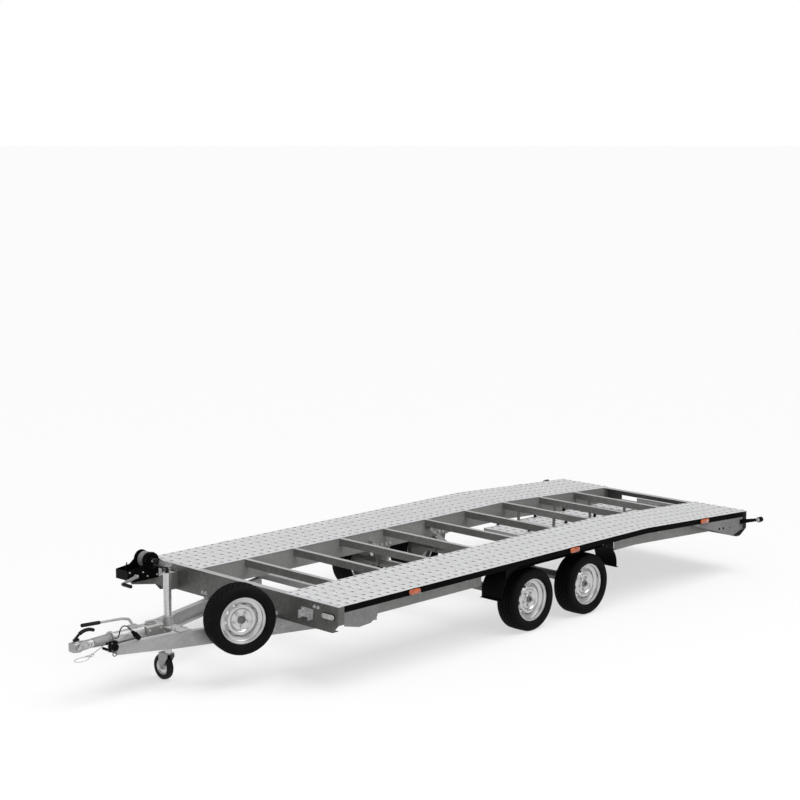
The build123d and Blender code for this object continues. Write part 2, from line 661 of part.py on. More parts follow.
# Road wheels: local frame with the outer rim plane at Y = 0, the axle along Y
def rim():
    """Steel wheel: well rim, dished disc with slots, and bolt heads."""
    flange, seat, well = rim_flange_radius, rim_seat_radius, rim_well_radius
    bolt_face = -disc_offset
    barrel = [
        (0, flange), (-9, flange), (-11, seat), (-34, seat), (-46, well), (-84, well),
        (-98, seat), (-rim_width + 11, seat), (-rim_width + 9, flange), (-rim_width, flange),
    ]
    inner = [
        (-rim_width, flange - rim_wall), (-rim_width + 5, flange - rim_wall),
        (-rim_width + 8, seat - rim_wall), (-100, seat - rim_wall), (-86, well - rim_wall),
        (-44, well - rim_wall), (-32, seat - rim_wall), (-8, seat - rim_wall),
        (-5, flange - rim_wall), (0, flange - rim_wall),
    ]
    disc = [
        (bolt_face, hub_bore), (bolt_face, 78), (bolt_face + 16, 92), (bolt_face + 16, 106),
        (bolt_face - 4, 124), (bolt_face - 6, well - rim_wall), (bolt_face - 24, well - rim_wall),
        (bolt_face - 24, 128), (bolt_face - 9, 120), (bolt_face + 11, 105), (bolt_face + 11, 93),
        (bolt_face - 5, 77), (bolt_face - 5, hub_bore),
    ]
    with BuildPart() as wheel:
        with BuildSketch(Plane.YZ):
            with BuildLine():
                Polyline(*barrel, *inner, close=True)
            make_face()
            with BuildLine():
                Polyline(*disc, close=True)
            make_face()
        revolve(axis=Axis.Y)
        with BuildSketch(Plane.XZ.offset(30)):
            with PolarLocations(121, 10):
                RectangleRounded(9, 26, 4)
        extrude(amount=60, mode=Mode.SUBTRACT)
        with BuildSketch(Plane.XZ.offset(disc_offset)):
            with PolarLocations(bolt_circle, bolt_count):
                RegularPolygon(11, 6)
        extrude(amount=-14)
    return wheel.part


def tyre():
    """Tyre seated on the rim; the tread pattern isn't cut."""
    mid, half_width, r = -rim_width / 2, tyre_width / 2, tyre_radius
    flange = rim_flange_radius + fit_gap
    wall = r - rim_flange_radius
    side = [
        (rim_width / 2 - 11 - fit_gap, rim_seat_radius + fit_gap),
        (rim_width / 2 - 11 - fit_gap, flange), (rim_width / 2 - 2, flange + 3),
        (half_width - 4, r - 0.72 * wall), (half_width, r - 0.51 * wall),
        (half_width - 4, r - 0.28 * wall), (half_width - 14, r - 0.1 * wall), (half_width - 30, r),
    ]
    profile = [(mid + a, b) for a, b in side] + [(mid - a, b) for a, b in reversed(side)]
    with BuildPart() as ring:
        with BuildSketch(Plane.YZ):
            with BuildLine():
                Polyline(*profile, close=True)
            make_face()
        revolve(axis=Axis.Y)
    return ring.part


def drum():
    """Brake drum with its hub, behind the wheel's bolt face."""
    back = -disc_offset - 5
    with BuildPart() as hub:
        with BuildSketch(Plane.YZ):
            with BuildLine():
                Polyline((back, spindle_radius + 0.06), (back, drum_radius - 8), (back - 8, drum_radius),
                         (back - drum_width, drum_radius), (back - drum_width, drum_radius - 8),
                         (back - 12, drum_radius - 8), (back - 12, spindle_radius + 12),
                         (back - drum_width, spindle_radius + 12),
                         (back - drum_width, spindle_radius + 0.06), close=True)
            make_face()
        revolve(axis=Axis.Y)
        with BuildSketch(Plane.XZ.offset(-back)):
            Circle(hub_bore - fit_gap)
            Circle(spindle_radius + 0.06, mode=Mode.SUBTRACT)
        extrude(amount=-26)
    return hub.part


spindle_radius = 18
rim_part, tyre_part, drum_part = rim(), tyre(), drum()
for name, behind in zip(("front", "rear"), axle_at):
    for side, place in (
        ("left", Location((at(-behind), rim_outer_y, tyre_radius))),
        ("right", Location((at(-behind), -rim_outer_y, tyre_radius), (0, 0, 180))),
    ):
        for part, kind in ((rim_part, "rim"), (tyre_part, "tyre"), (drum_part, "drum")):
            save(part.moved(place), f"{kind}_{name}_{side}")

# Spare wheel beside the drawbar, and its carrier
spare_y = bar_y(spare_at) + spare_out
spare_place = Location((at(spare_at), spare_y, spare_z), (0, 0, -spare_turn))
save(rim_part.moved(spare_place), "spare_rim")
save(tyre_part.moved(spare_place), "spare_tyre")
spare_normal = Vector(sin(radians(spare_turn)), cos(radians(spare_turn)), 0)
carrier_face = Vector(at(spare_at), spare_y, spare_z) - spare_normal * (disc_offset + 5)
with BuildPart() as spare_carrier:
    with BuildSketch(Plane(origin=carrier_face, z_dir=-spare_normal)):
        Circle(74)
    extrude(amount=8)
    with BuildSketch(Plane(origin=carrier_face, z_dir=-spare_normal)):
        Circle(24)
    extrude(amount=160)
    carrier_run = (bar_front - carrier_at) / cos(radians(bar_angle)) - 2
    low, shoulder, high = bar_top_z - 114, bar_top_z - 4, spare_z + 49
    with BuildSketch(bar_plane):
        with BuildLine():
            Polyline((carrier_run - 75, -low), (carrier_run + 75, -low), (carrier_run + 75, -shoulder),
                     (carrier_run + 40, -high), (carrier_run - 40, -high),
                     (carrier_run - 75, -shoulder), close=True)
        make_face()
    extrude(amount=-8)
save(spare_carrier.part, "spare_carrier")

# Axles: torsion tube, trailing arms, spindles, backplates and brackets to the main beams
arm_in, arm_out = rim_outer_y - 215, rim_outer_y - 195
backplate_at = rim_outer_y - disc_offset - 5 - drum_width - 8
for name, behind in zip(("front", "rear"), axle_at):
    tube_at, wheel_at = at(-behind + axle_ahead), at(-behind)
    with BuildPart() as axle:
        with BuildSketch(Plane.XZ.offset(-arm_in)):
            with Locations((tube_at, axle_tube_z)):
                RegularPolygon(axle_tube_radius, 6)
        extrude(amount=2 * arm_in)
        for side in (1, -1):
            edge = arm_out if side == 1 else -arm_in
            with BuildSketch(Plane.XZ.offset(-edge)):
                with Locations((tube_at, axle_tube_z)):
                    Circle(46)
                with Locations((wheel_at, tyre_radius)):
                    Circle(34)
                make_hull()
            extrude(amount=arm_out - arm_in)
            with Locations((wheel_at, side * (arm_out + (rim_outer_y - disc_offset - arm_out) / 2),
                            tyre_radius)):
                Cylinder(spindle_radius, rim_outer_y - disc_offset - arm_out, rotation=(90, 0, 0))
            with Locations((wheel_at, side * (backplate_at - 3), tyre_radius)):
                Cylinder(drum_radius, 6, rotation=(90, 0, 0))
            bracket = [
                (tube_at - 90, main_beam_low), (tube_at + 90, main_beam_low),
                (tube_at + 56, axle_tube_z - 20), (tube_at - 56, axle_tube_z - 20),
            ]
            edge = side * (inner_y + main_flange / 2) + 4
            extrude(upright(edge, *bracket), amount=8)
            pad_y = side * (inner_y + main_flange / 2)
            with Locations((tube_at, pad_y, main_beam_low)):
                Box(180, main_flange, 6, align=(Align.CENTER, Align.CENTER, Align.MAX))
    save(axle.part, f"axle_{name}")

# Shock absorbers inside the main beams: a body on the axle tube and a rod to the beam
shock_y = inner_y - 33
with BuildPart() as shock_absorbers:
    for behind in axle_at:
        for side in (1, -1):
            foot = Vector(at(-behind + axle_ahead - 20), side * shock_y, axle_tube_z + 66)
            head = Vector(at(-behind + axle_ahead + 170), side * shock_y, main_beam_low + 84)
            direction = (head - foot).normalized()
            with BuildSketch(Plane(origin=foot, z_dir=direction)):
                Circle(24)
            extrude(amount=(head - foot).length * 0.6)
            with BuildSketch(Plane(origin=foot, z_dir=direction)):
                Circle(9)
            extrude(amount=(head - foot).length)
            with Locations((head.X, side * (shock_y + inner_y) / 2, head.Z)):
                Cylinder(16, inner_y - shock_y - fit_gap, rotation=(90, 0, 0))
            with Locations((head.X, side * shock_y, head.Z)):
                Cylinder(16, 26, rotation=(90, 0, 0))
            with Locations((foot.X, side * shock_y, foot.Z)):
                Cylinder(17, 30, rotation=(90, 0, 0))
            with Locations((foot.X, side * shock_y, foot.Z)):
                Box(26, 8, foot.Z - axle_tube_z - axle_tube_radius * cos(pi / 6) - fit_gap,
                    align=(Align.CENTER, Align.CENTER, Align.MAX))
save(shock_absorbers.part, "shock_absorbers")

# Mudguards: a strip over each pair of wheels, rounded at its ends
guard_top = deck_height - guard_below
guard_ends = (
    dict(at=axle_at[0] - 412, radius=195, lip=tyre_radius + 70, towards=1),
    dict(at=axle_at[1] + 350, radius=180, lip=tyre_radius + 92, towards=-1),
)
lip_out = 22               # width of the flange along the mudguards' lower ends


def guard_corners(inset):
    """Corners of the mudguard's side line from its front lip to its rear lip, moved inwards."""
    front, rear = [(at(-end["at"]) - end["towards"] * inset, end["lip"]) for end in guard_ends]
    return front, (front[0], guard_top - inset), (rear[0], guard_top - inset), rear


with BuildPart() as mudguard:
    with BuildSketch(Plane.XZ.offset(-guard_outer_y)):
        with BuildLine():
            outer = FilletPolyline(*guard_corners(0), radius=[end["radius"] for end in guard_ends])
            inner = FilletPolyline(*guard_corners(guard_sheet),
                                   radius=[end["radius"] - guard_sheet for end in guard_ends])
            Line(outer @ 0, inner @ 0)
            Line(outer @ 1, inner @ 1)
        make_face()
    extrude(amount=guard_outer_y - guard_inner_y)
    for end in guard_ends:
        edge_x = at(-end["at"]) + end["towards"] * lip_out / 2
        with Locations((edge_x, (guard_inner_y + guard_outer_y) / 2, end["lip"])):
            Box(lip_out, guard_outer_y - guard_inner_y, guard_sheet,
                align=(Align.CENTER, Align.CENTER, Align.MIN))
    for behind in (axle_at[0] - 60, (axle_at[0] + axle_at[1]) / 2, axle_at[1] + 60):
        hanger_top = deck_height - plate - side_beam_shallow
        with Locations((at(-behind), side_beam_at - sheet / 2, guard_top)):
            Box(40, 30, hanger_top - guard_top, align=(Align.CENTER, Align.CENTER, Align.MIN))
save(mudguard.part, "mudguard_left")
save(mirror(mudguard.part, about=Plane.XZ), "mudguard_right")

# Ramps stowed under the rear of the deck, in line with the slot, on their guide rails
ramp_mid = slot["mid_y"]
ramp_slope = ramp_rise / ramp_length


def ramp_top(behind):
    return top(deck_length) - ramp_below + ramp_slope * (ramp_rear - behind)


def ramp_strip(start, end, below, depth):
    return [(at(-start), ramp_top(start) - below), (at(-end), ramp_top(end) - below),
            (at(-end), ramp_top(end) - below - depth), (at(-start), ramp_top(start) - below - depth)]


with BuildPart() as ramps:
    for edge in (ramp_mid + ramp_gap / 2 + ramp_width, ramp_mid - ramp_gap / 2):
        extrude(upright(edge, *ramp_strip(ramp_front, ramp_rear, 0, plate)), amount=ramp_width)
        for wall in (edge, edge - ramp_width + plate):
            extrude(upright(wall, *ramp_strip(ramp_front, ramp_rear, plate, ramp_height - plate)),
                    amount=plate)
        extrude(upright(edge, *ramp_strip(ramp_front, ramp_front + plate, plate, ramp_height - plate)),
                amount=ramp_width)
save(ramps.part, "ramps")

# Two outer rails and one between the ramps, hung from the cross members; each row gives the
# web's upper Y face and the flange's upper and lower Y
guide_rear = deck_length - 90
guide_front = ramp_front + 330
guide_side = ramp_gap / 2 + ramp_width + 2
guide_rails = (
    dict(web=guide_side + plate, high=guide_side, low=guide_side - 22),
    dict(web=plate / 2, high=ramp_gap / 2 + 20, low=-ramp_gap / 2 - 20),
    dict(web=-guide_side, high=22 - guide_side, low=-guide_side),
)
with BuildPart() as ramp_guides:
    for rail in guide_rails:
        extrude(upright(ramp_mid + rail["web"], *ramp_strip(guide_front, guide_rear, -2,
                                                           ramp_height + 2 + plate)), amount=plate)
        extrude(upright(ramp_mid + rail["high"], *ramp_strip(guide_front, guide_rear, ramp_height, plate)),
                amount=rail["high"] - rail["low"])
        for station in outrigger_at:
            if station > guide_front and station < guide_rear:
                hanger_top = top(station) - plate - cross_height
                with Locations((at(-station), ramp_mid + rail["web"], ramp_top(station))):
                    Box(cross_width, plate, hanger_top - ramp_top(station),
                        align=(Align.CENTER, Align.MAX, Align.MIN))
save(ramp_guides.part, "ramp_guides")

# Winch bracket: an arm from the front beam, deeper at its root
arm_side = [
    (0, corner_z + 10), (0, deck_height - 40), (24, winch_arm_top), (winch_arm_reach, winch_arm_top),
    (winch_arm_reach, winch_arm_top - 22), (225, winch_arm_top - 62), (170, winch_arm_top - 84),
    (120, corner_z + 10),
]
arm_half = 40
with BuildPart() as winch_bracket:
    for y in (winch_y + arm_half, winch_y - arm_half + sheet):
        extrude(upright(y, *[(at(a), z) for a, z in arm_side]), amount=sheet)
    with Locations((at(24), winch_y, winch_arm_top)):
        Box(winch_arm_reach - 24, 2 * arm_half, sheet, align=(Align.MIN, Align.CENTER, Align.MAX))
    with Locations((at(0), winch_y, corner_z + 10)):
        Box(sheet, 2 * arm_half, deck_height - 50 - corner_z,
            align=(Align.MIN, Align.CENTER, Align.MIN))
save(winch_bracket.part, "winch_bracket")

# Winch: side plates and base, drum with its strap, crank
crank_shaft = (drum_at + 165, winch_arm_top + 49)
winch_front = winch_arm_reach + 62
with BuildPart() as winch_frame:
    cheek = [
        (drum_at - 67, winch_arm_top), (winch_arm_reach + 2, winch_arm_top),
        (winch_front, winch_arm_top + 22), (winch_front, winch_arm_top + 96),
        (winch_front - 130, winch_arm_top + 112), (drum_at + 40, drum_z + 20),
        (drum_at - 30, drum_z + 20), (drum_at - 67, drum_z - 30),
    ]
    for y in (winch_y + winch_width / 2, winch_y - winch_width / 2 + sheet):
        extrude(upright(y, *[(at(a), z) for a, z in cheek]), amount=sheet)
    with Locations((at(drum_at - 67), winch_y, winch_arm_top)):
        Box(winch_arm_reach + 69 - drum_at, winch_width, sheet,
            align=(Align.MIN, Align.CENTER, Align.MIN))
    # Front plate and the pawl's lever
    with Locations((at(winch_front), winch_y, winch_arm_top + 22)):
        Box(sheet, winch_width, 74, align=(Align.MAX, Align.CENTER, Align.MIN))
    with Locations((at(winch_front - 6), winch_y + 40, winch_arm_top + 84)):
        Cylinder(5, 80, rotation=(0, -12, 0), align=(Align.CENTER, Align.CENTER, Align.MIN))
    for y in (winch_y + winch_width / 2 - sheet, winch_y - winch_width / 2 + sheet):
        with BuildSketch(Plane.XZ.offset(-y)):
            with Locations((at(drum_at), drum_z)):
                Circle(13)
        extrude(amount=6 if y > winch_y else -6)
save(winch_frame.part, "winch_frame")

with BuildPart() as winch_drum:
    inside = winch_width / 2 - sheet - 6 - fit_gap
    with BuildSketch(Plane.XZ.offset(-winch_y - inside)):
        with Locations((at(drum_at), drum_z)):
            Circle(54)
    extrude(amount=2 * inside)
    for y in (winch_y + inside, winch_y - inside + 4):
        with BuildSketch(Plane.XZ.offset(-y)):
            with Locations((at(drum_at), drum_z)):
                Circle(drum_flange_radius)
        extrude(amount=4)
save(winch_drum.part, "winch_drum")

crank_arm = 145
crank_turn = radians(-14)
crank_y = winch_y + winch_width / 2
crank_tip = (crank_shaft[0] + crank_arm * cos(crank_turn), crank_shaft[1] + crank_arm * sin(crank_turn))
with BuildPart() as winch_crank:
    with BuildSketch(Plane.XZ.offset(-crank_y - 26)):
        with Locations((at(crank_shaft[0]), crank_shaft[1])):
            Circle(11)
    extrude(amount=26 - fit_gap)
    with BuildSketch(Plane.XZ.offset(-crank_y - 26)):
        with Locations((at(crank_shaft[0]), crank_shaft[1])):
            Circle(13)
        with Locations((at(crank_tip[0]), crank_tip[1])):
            Circle(11)
        make_hull()
    extrude(amount=6)
    with BuildSketch(Plane.XZ.offset(-crank_y - 20)):
        with Locations((at(crank_tip[0]), crank_tip[1])):
            Circle(11)
    extrude(amount=-116)
save(winch_crank.part, "winch_crank")

# Lamps and plate
lamp_depth = 46
lens_width, lens_height = 236, 94
with BuildPart() as tail_lamps:
    for side in (1, -1):
        with Locations((rear_x + sheet, side * lamp_window["y"], lamp_window["z"])):
            Box(lamp_depth, lamp_window["width"] + 16, lamp_window["height"] + 16,
                align=(Align.MIN, Align.CENTER, Align.CENTER))
        with Locations((rear_x + sheet, side * lamp_window["y"], lamp_window["z"])):
            Box(sheet + lamp_proud, lens_width, lens_height,
                align=(Align.MAX, Align.CENTER, Align.CENTER))
save(tail_lamps.part, "tail_lamps")

with BuildPart() as number_plate:
    with Locations((rear_x - holder_gap, plate_mid[0], plate_mid[1])):
        Box(plate_size[2], plate_size[0], plate_size[1], align=(Align.MAX, Align.CENTER, Align.CENTER))
save(number_plate.part, "number_plate")

stalk_root = (deck_length - 80, rear_beam_bottom + 158)
stalk_head = (deck_length - 41, half + 172, rear_beam_bottom + 196)
with BuildPart() as position_lamps:
    for side in (1, -1):
        root = Vector(at(-stalk_root[0]), side * half, stalk_root[1])
        head = Vector(at(-stalk_head[0]), side * stalk_head[1], stalk_head[2])
        direction = (head - root).normalized()
        with Locations((root.X, side * (half + 6), root.Z)):
            Box(60, 12, 44)
        with BuildSketch(Plane(origin=root + direction * 10, z_dir=direction)):
            Circle(12)
        extrude(amount=(head - root).length - 12)
        with Locations(head):
            Cylinder(25, 74, rotation=(0, 90, 0))
save(position_lamps.part, "position_lamps")

marker_at = (790, (axle_at[0] + axle_at[1]) / 2 + 105, deck_length - 690)
with BuildPart() as marker_lamps:
    for station in marker_at:
        for side in (1, -1):
            face = Plane.XZ.offset(-side * half)
            with BuildSketch(face):
                with Locations((at(-station), top(station) - rail_height / 2)):
                    SlotOverall(104, 44)
            extrude(amount=-side * 18)
    for side in (1, -1):
        with BuildSketch(Plane.YZ.offset(front_x)):
            with Locations((side * (half - 103), deck_height - 85)):
                SlotOverall(112, 42)
        extrude(amount=14)
save(marker_lamps.part, "marker_lamps")


# Cords: routes as corner points, and tubes of straight runs joined by tangent arcs
def cord_radii(points):
    corners = []
    for a, b, c in zip(points, points[1:], points[2:]):
        before, after = Vector(b) - Vector(a), Vector(c) - Vector(b)
        half_turn = radians(before.get_angle(after)) / 2
        corners.append(0.45 * min(before.length, after.length) / tan(half_turn))
    return corners


def cord_tube(name, points, diameter):
    radii = cord_radii(points)
    with BuildPart() as tube:
        with BuildLine() as path:
            FilletPolyline(*points, radius=radii)
        with BuildSketch(Plane(origin=path.line @ 0, z_dir=path.line % 0)):
            Circle(diameter / 2)
        sweep(path=path.line)
    length = path.wire().length
    expected = pi * diameter ** 2 / 4 * length
    print(name, "radii", [round(r) for r in radii], "length", round(length),
          "volume ratio", round(tube.part.volume / expected, 4))
    return tube.part


plug_cable_diameter = 9
# (reach, Y, Z)
plug_cable_route = [
    (at(a), y, z) for a, y, z in (
        (1212, 53.2, 446), (1216, 92, 452), (1222, 116, 484), (1216, 122, 524), (1190, 122, 546),
        (1155, 120, 538), (1128, 116, 510), (1100, 113, 482),
    )
]
save(cord_tube("plug_cable", plug_cable_route, plug_cable_diameter), "plug_cable")

plug_axis = (Vector(plug_cable_route[-1]) - Vector(plug_cable_route[-2])).normalized()
with BuildPart() as plug:
    with BuildSketch(Plane(origin=plug_cable_route[-1], z_dir=plug_axis)):
        Circle(13)
    extrude(amount=32)
    with BuildSketch(Plane(origin=Vector(plug_cable_route[-1]) + plug_axis * 30, z_dir=plug_axis)):
        Circle(19)
    extrude(amount=56)
save(plug.part, "plug")

wire_diameter = 5
wire_route = [
    (at(a), y, z) for a, y, z in (
        (1221, -34, 405), (1246, -36, 384), (1284, -34, 366), (1330, -28, 350), (1374, -14, 340),
        (1412, 16, 334), (1450, 40, 330), (1490, 40, 326), (1518, 14, 322), (1518, -26, 320),
        (1490, -52, 322), (1450, -50, 326), (1412, -30, 332),
    )
]
save(cord_tube("breakaway_cable", wire_route, wire_diameter), "breakaway_cable")
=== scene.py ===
import math
import random

import bmesh
import bpy
from mathutils import Matrix, Vector


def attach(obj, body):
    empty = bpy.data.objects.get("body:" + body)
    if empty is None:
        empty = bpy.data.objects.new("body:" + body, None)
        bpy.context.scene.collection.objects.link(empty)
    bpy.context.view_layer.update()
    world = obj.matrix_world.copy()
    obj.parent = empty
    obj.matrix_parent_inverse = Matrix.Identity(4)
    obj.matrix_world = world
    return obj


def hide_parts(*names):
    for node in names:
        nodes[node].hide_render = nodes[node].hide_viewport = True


# Looks of the car transport trailer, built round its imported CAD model.
# Metres; X points to the coupling, Y to the left side, Z up.
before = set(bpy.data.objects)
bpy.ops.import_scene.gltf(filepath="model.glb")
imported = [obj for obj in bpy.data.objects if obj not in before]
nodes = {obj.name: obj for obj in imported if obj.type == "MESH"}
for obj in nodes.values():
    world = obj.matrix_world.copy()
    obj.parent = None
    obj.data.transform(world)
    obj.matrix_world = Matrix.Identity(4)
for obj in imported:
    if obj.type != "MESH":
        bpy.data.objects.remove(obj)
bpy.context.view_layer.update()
scene = bpy.context.scene
random.seed(11)

deck = {
    "frontX": 1.864, "length": 5.270, "half": 1.115, "height": 0.638, "kink": 3.714, "drop": 0.084,
    "rail": 0.048, "rearX": -3.406,
}


def at(reach):
    return deck["frontX"] + reach


def deckTop(behind):
    slope = deck["drop"] / (deck["length"] - deck["kink"])
    return deck["height"] - slope * max(0, behind - deck["kink"])


# Camera, at the photograph's viewing angle
camera = {"place": (10.431, 10.174, 4.013), "azimuth": -135.46, "elevation": -8.44, "lens": 79.44}
cameraData = bpy.data.cameras.new("camera")
cameraObject = bpy.data.objects.new("camera", cameraData)
scene.collection.objects.link(cameraObject)
scene.camera = cameraObject
turn, lift = math.radians(camera["azimuth"]), math.radians(camera["elevation"])
aim = Vector((math.cos(lift) * math.cos(turn), math.cos(lift) * math.sin(turn), math.sin(lift)))
cameraObject.location = camera["place"]
cameraObject.rotation_mode = "QUATERNION"
cameraObject.rotation_quaternion = aim.to_track_quat("-Z", "Y")
cameraData.lens, cameraData.sensor_width = camera["lens"], 36
cameraData.clip_end = 2000
print("camera placed")


# Shader node groups that several finishes share
def newGroup(name, inputs, outputs):
    group = bpy.data.node_groups.new(name, "ShaderNodeTree")
    for label, kind, value in inputs:
        socket = group.interface.new_socket(label, in_out="INPUT", socket_type=kind)
        socket.default_value = value
    for label, kind in outputs:
        group.interface.new_socket(label, in_out="OUTPUT", socket_type=kind)
    return group, group.nodes.new("NodeGroupInput"), group.nodes.new("NodeGroupOutput")


def addNode(tree, kind, links=(), **values):
    node = tree.nodes.new(kind)
    for key, value in values.items():
        if hasattr(node, key):
            setattr(node, key, value)
        else:
            node.inputs[key.replace("_", " ").title()].default_value = value
    for socket, source in links:
        tree.links.new(source, node.inputs[socket])
    return node


def mapRange(tree, source, low, high, toLow, toHigh):
    node = addNode(tree, "ShaderNodeMapRange", [("Value", source)])
    for key, value in (("From Min", low), ("From Max", high), ("To Min", toLow), ("To Max", toHigh)):
        node.inputs[key].default_value = value
    return node.outputs["Result"]


def mixColour(tree, factor, first, second, blend="MIX"):
    node = tree.nodes.new("ShaderNodeMix")
    node.data_type, node.blend_type = "RGBA", blend
    for index, value in ((0, factor), (6, first), (7, second)):
        if isinstance(value, (tuple, float, int)):
            node.inputs[index].default_value = value
        else:
            tree.links.new(value, node.inputs[index])
    return node.outputs[2]


def arithmetic(tree, operation, first, second=None):
    node = tree.nodes.new("ShaderNodeMath")
    node.operation = operation
    for index, value in enumerate((first, second)):
        if value is None:
            continue
        if isinstance(value, (float, int)):
            node.inputs[index].default_value = value
        else:
            tree.links.new(value, node.inputs[index])
    return node.outputs[0]


def makeSpangleGroup():
    group, start, end = newGroup(
        "zincSpangle",
        [("Cell Scale", "NodeSocketFloat", 45.0), ("Light", "NodeSocketColor", (0.6, 0.6, 0.6, 1)),
         ("Dark", "NodeSocketColor", (0.4, 0.4, 0.4, 1)), ("Stain Scale", "NodeSocketFloat", 3.0)],
        [("Colour", "NodeSocketColor"), ("Shine", "NodeSocketFloat"), ("Height", "NodeSocketFloat")],
    )
    where = addNode(group, "ShaderNodeTexCoord").outputs["Object"]
    cells = addNode(group, "ShaderNodeTexVoronoi", [("Vector", where), ("Scale", start.outputs[0])])
    tone = addNode(group, "ShaderNodeSeparateColor", [("Color", cells.outputs["Color"])]).outputs[0]
    stain = addNode(group, "ShaderNodeTexNoise", [("Vector", where), ("Scale", start.outputs[3])])
    stain.inputs["Detail"].default_value = 6
    fine = addNode(group, "ShaderNodeTexNoise", [("Vector", where)])
    fine.inputs["Scale"].default_value = 260
    blend = arithmetic(group, "ADD", arithmetic(group, "MULTIPLY", tone, 0.45),
                       arithmetic(group, "MULTIPLY", mapRange(group, stain.outputs[0], 0.3, 0.7, 0, 1), 0.55))
    colour = mixColour(group, blend, start.outputs[2], start.outputs[1])
    group.links.new(colour, end.inputs[0])
    group.links.new(blend, end.inputs[1])
    height = arithmetic(group, "ADD", arithmetic(group, "MULTIPLY", tone, 0.3),
                        arithmetic(group, "MULTIPLY", fine.outputs[0], 0.5))
    group.links.new(height, end.inputs[2])
    return group


def makeGrainGroup():
    group, start, end = newGroup(
        "mouldGrain",
        [("Grain Scale", "NodeSocketFloat", 400.0), ("Cloud Scale", "NodeSocketFloat", 6.0)],
        [("Grain", "NodeSocketFloat"), ("Cloud", "NodeSocketFloat")],
    )
    where = addNode(group, "ShaderNodeTexCoord").outputs["Object"]
    grain = addNode(group, "ShaderNodeTexNoise", [("Vector", where), ("Scale", start.outputs[0])])
    grain.inputs["Detail"].default_value = 3
    cloud = addNode(group, "ShaderNodeTexNoise", [("Vector", where), ("Scale", start.outputs[1])])
    cloud.inputs["Detail"].default_value = 5
    group.links.new(grain.outputs[0], end.inputs[0])
    group.links.new(mapRange(group, cloud.outputs[0], 0.32, 0.68, 0, 1), end.inputs[1])
    return group


def makeWearGroup():
    group, start, end = newGroup(
        "roadWear",
        [("Colour", "NodeSocketColor", (0.5, 0.5, 0.5, 1)), ("Dust", "NodeSocketColor", (0.5, 0.47, 0.42, 1)),
         ("Dust Share", "NodeSocketFloat", 0.2), ("Scuff", "NodeSocketColor", (0.6, 0.6, 0.6, 1)),
         ("Scuff Share", "NodeSocketFloat", 0.1)],
        [("Colour", "NodeSocketColor"), ("Mask", "NodeSocketFloat")],
    )
    where = addNode(group, "ShaderNodeTexCoord").outputs["Object"]
    patch = addNode(group, "ShaderNodeTexNoise", [("Vector", where)])
    patch.inputs["Scale"].default_value, patch.inputs["Detail"].default_value = 9, 8
    scratch = addNode(group, "ShaderNodeTexNoise", [("Vector", where)])
    scratch.inputs["Scale"].default_value, scratch.inputs["Detail"].default_value = 70, 6
    dust = arithmetic(group, "MULTIPLY", mapRange(group, patch.outputs[0], 0.45, 0.75, 0, 1),
                      start.outputs[2])
    scuff = arithmetic(group, "MULTIPLY", mapRange(group, scratch.outputs[0], 0.62, 0.7, 0, 1),
                       start.outputs[4])
    colour = mixColour(group, dust, start.outputs[0], start.outputs[1])
    colour = mixColour(group, scuff, colour, start.outputs[3])
    group.links.new(colour, end.inputs[0])
    group.links.new(arithmetic(group, "MAXIMUM", dust, scuff), end.inputs[1])
    return group


spangleGroup, grainGroup, wearGroup = makeSpangleGroup(), makeGrainGroup(), makeWearGroup()


def grey(value, tint=(1, 1, 1)):
    return tuple(value * t for t in tint) + (1,)


def startMaterial(name):
    material = bpy.data.materials.new(name)
    material.use_nodes = True
    return material, material.node_tree, material.node_tree.nodes["Principled BSDF"]


def placeGroup(tree, group, **values):
    node = tree.nodes.new("ShaderNodeGroup")
    node.node_tree = group
    for key, value in values.items():
        node.inputs[key].default_value = value
    return node


def addBump(tree, shader, height, strength, distance):
    bump = addNode(tree, "ShaderNodeBump", [("Height", height)])
    bump.inputs["Strength"].default_value, bump.inputs["Distance"].default_value = strength, distance
    tree.links.new(bump.outputs[0], shader.inputs["Normal"])


def zincFinish(name, light, dark, metallic, roughLow, roughHigh, cell=45.0, stain=3.0, dust=0.12,
               bump=0.25):
    material, tree, shader = startMaterial(name)
    spangle = placeGroup(tree, spangleGroup, **{"Cell Scale": cell, "Light": light, "Dark": dark,
                                                "Stain Scale": stain})
    wear = placeGroup(tree, wearGroup, **{"Dust Share": dust, "Scuff Share": 0.18,
                                          "Dust": grey(0.36, (1, 0.97, 0.92)), "Scuff": grey(0.8)})
    tree.links.new(spangle.outputs["Colour"], wear.inputs["Colour"])
    tree.links.new(wear.outputs["Colour"], shader.inputs["Base Color"])
    tree.links.new(mapRange(tree, spangle.outputs["Shine"], 0, 1, roughHigh, roughLow),
                   shader.inputs["Roughness"])
    shader.inputs["Metallic"].default_value = metallic
    addBump(tree, shader, spangle.outputs["Height"], bump, 0.0006)
    return material


def mouldedFinish(name, colour, other, roughLow, roughHigh, grain=400.0, bump=0.3, metallic=0.0,
                  dust=0.08, scuff=0.05, scuffColour=None, specular=0.5):
    material, tree, shader = startMaterial(name)
    mould = placeGroup(tree, grainGroup, **{"Grain Scale": grain})
    wear = placeGroup(tree, wearGroup, **{"Dust Share": dust, "Scuff Share": scuff,
                                          "Scuff": scuffColour or grey(0.25),
                                          "Dust": grey(0.3, (1, 0.95, 0.88))})
    tree.links.new(mixColour(tree, mould.outputs["Cloud"], colour, other), wear.inputs["Colour"])
    tree.links.new(wear.outputs["Colour"], shader.inputs["Base Color"])
    tree.links.new(mapRange(tree, mould.outputs["Cloud"], 0, 1, roughLow, roughHigh),
                   shader.inputs["Roughness"])
    shader.inputs["Metallic"].default_value = metallic
    shader.inputs["Specular IOR Level"].default_value = specular
    addBump(tree, shader, mould.outputs["Grain"], bump, 0.0006)
    return material


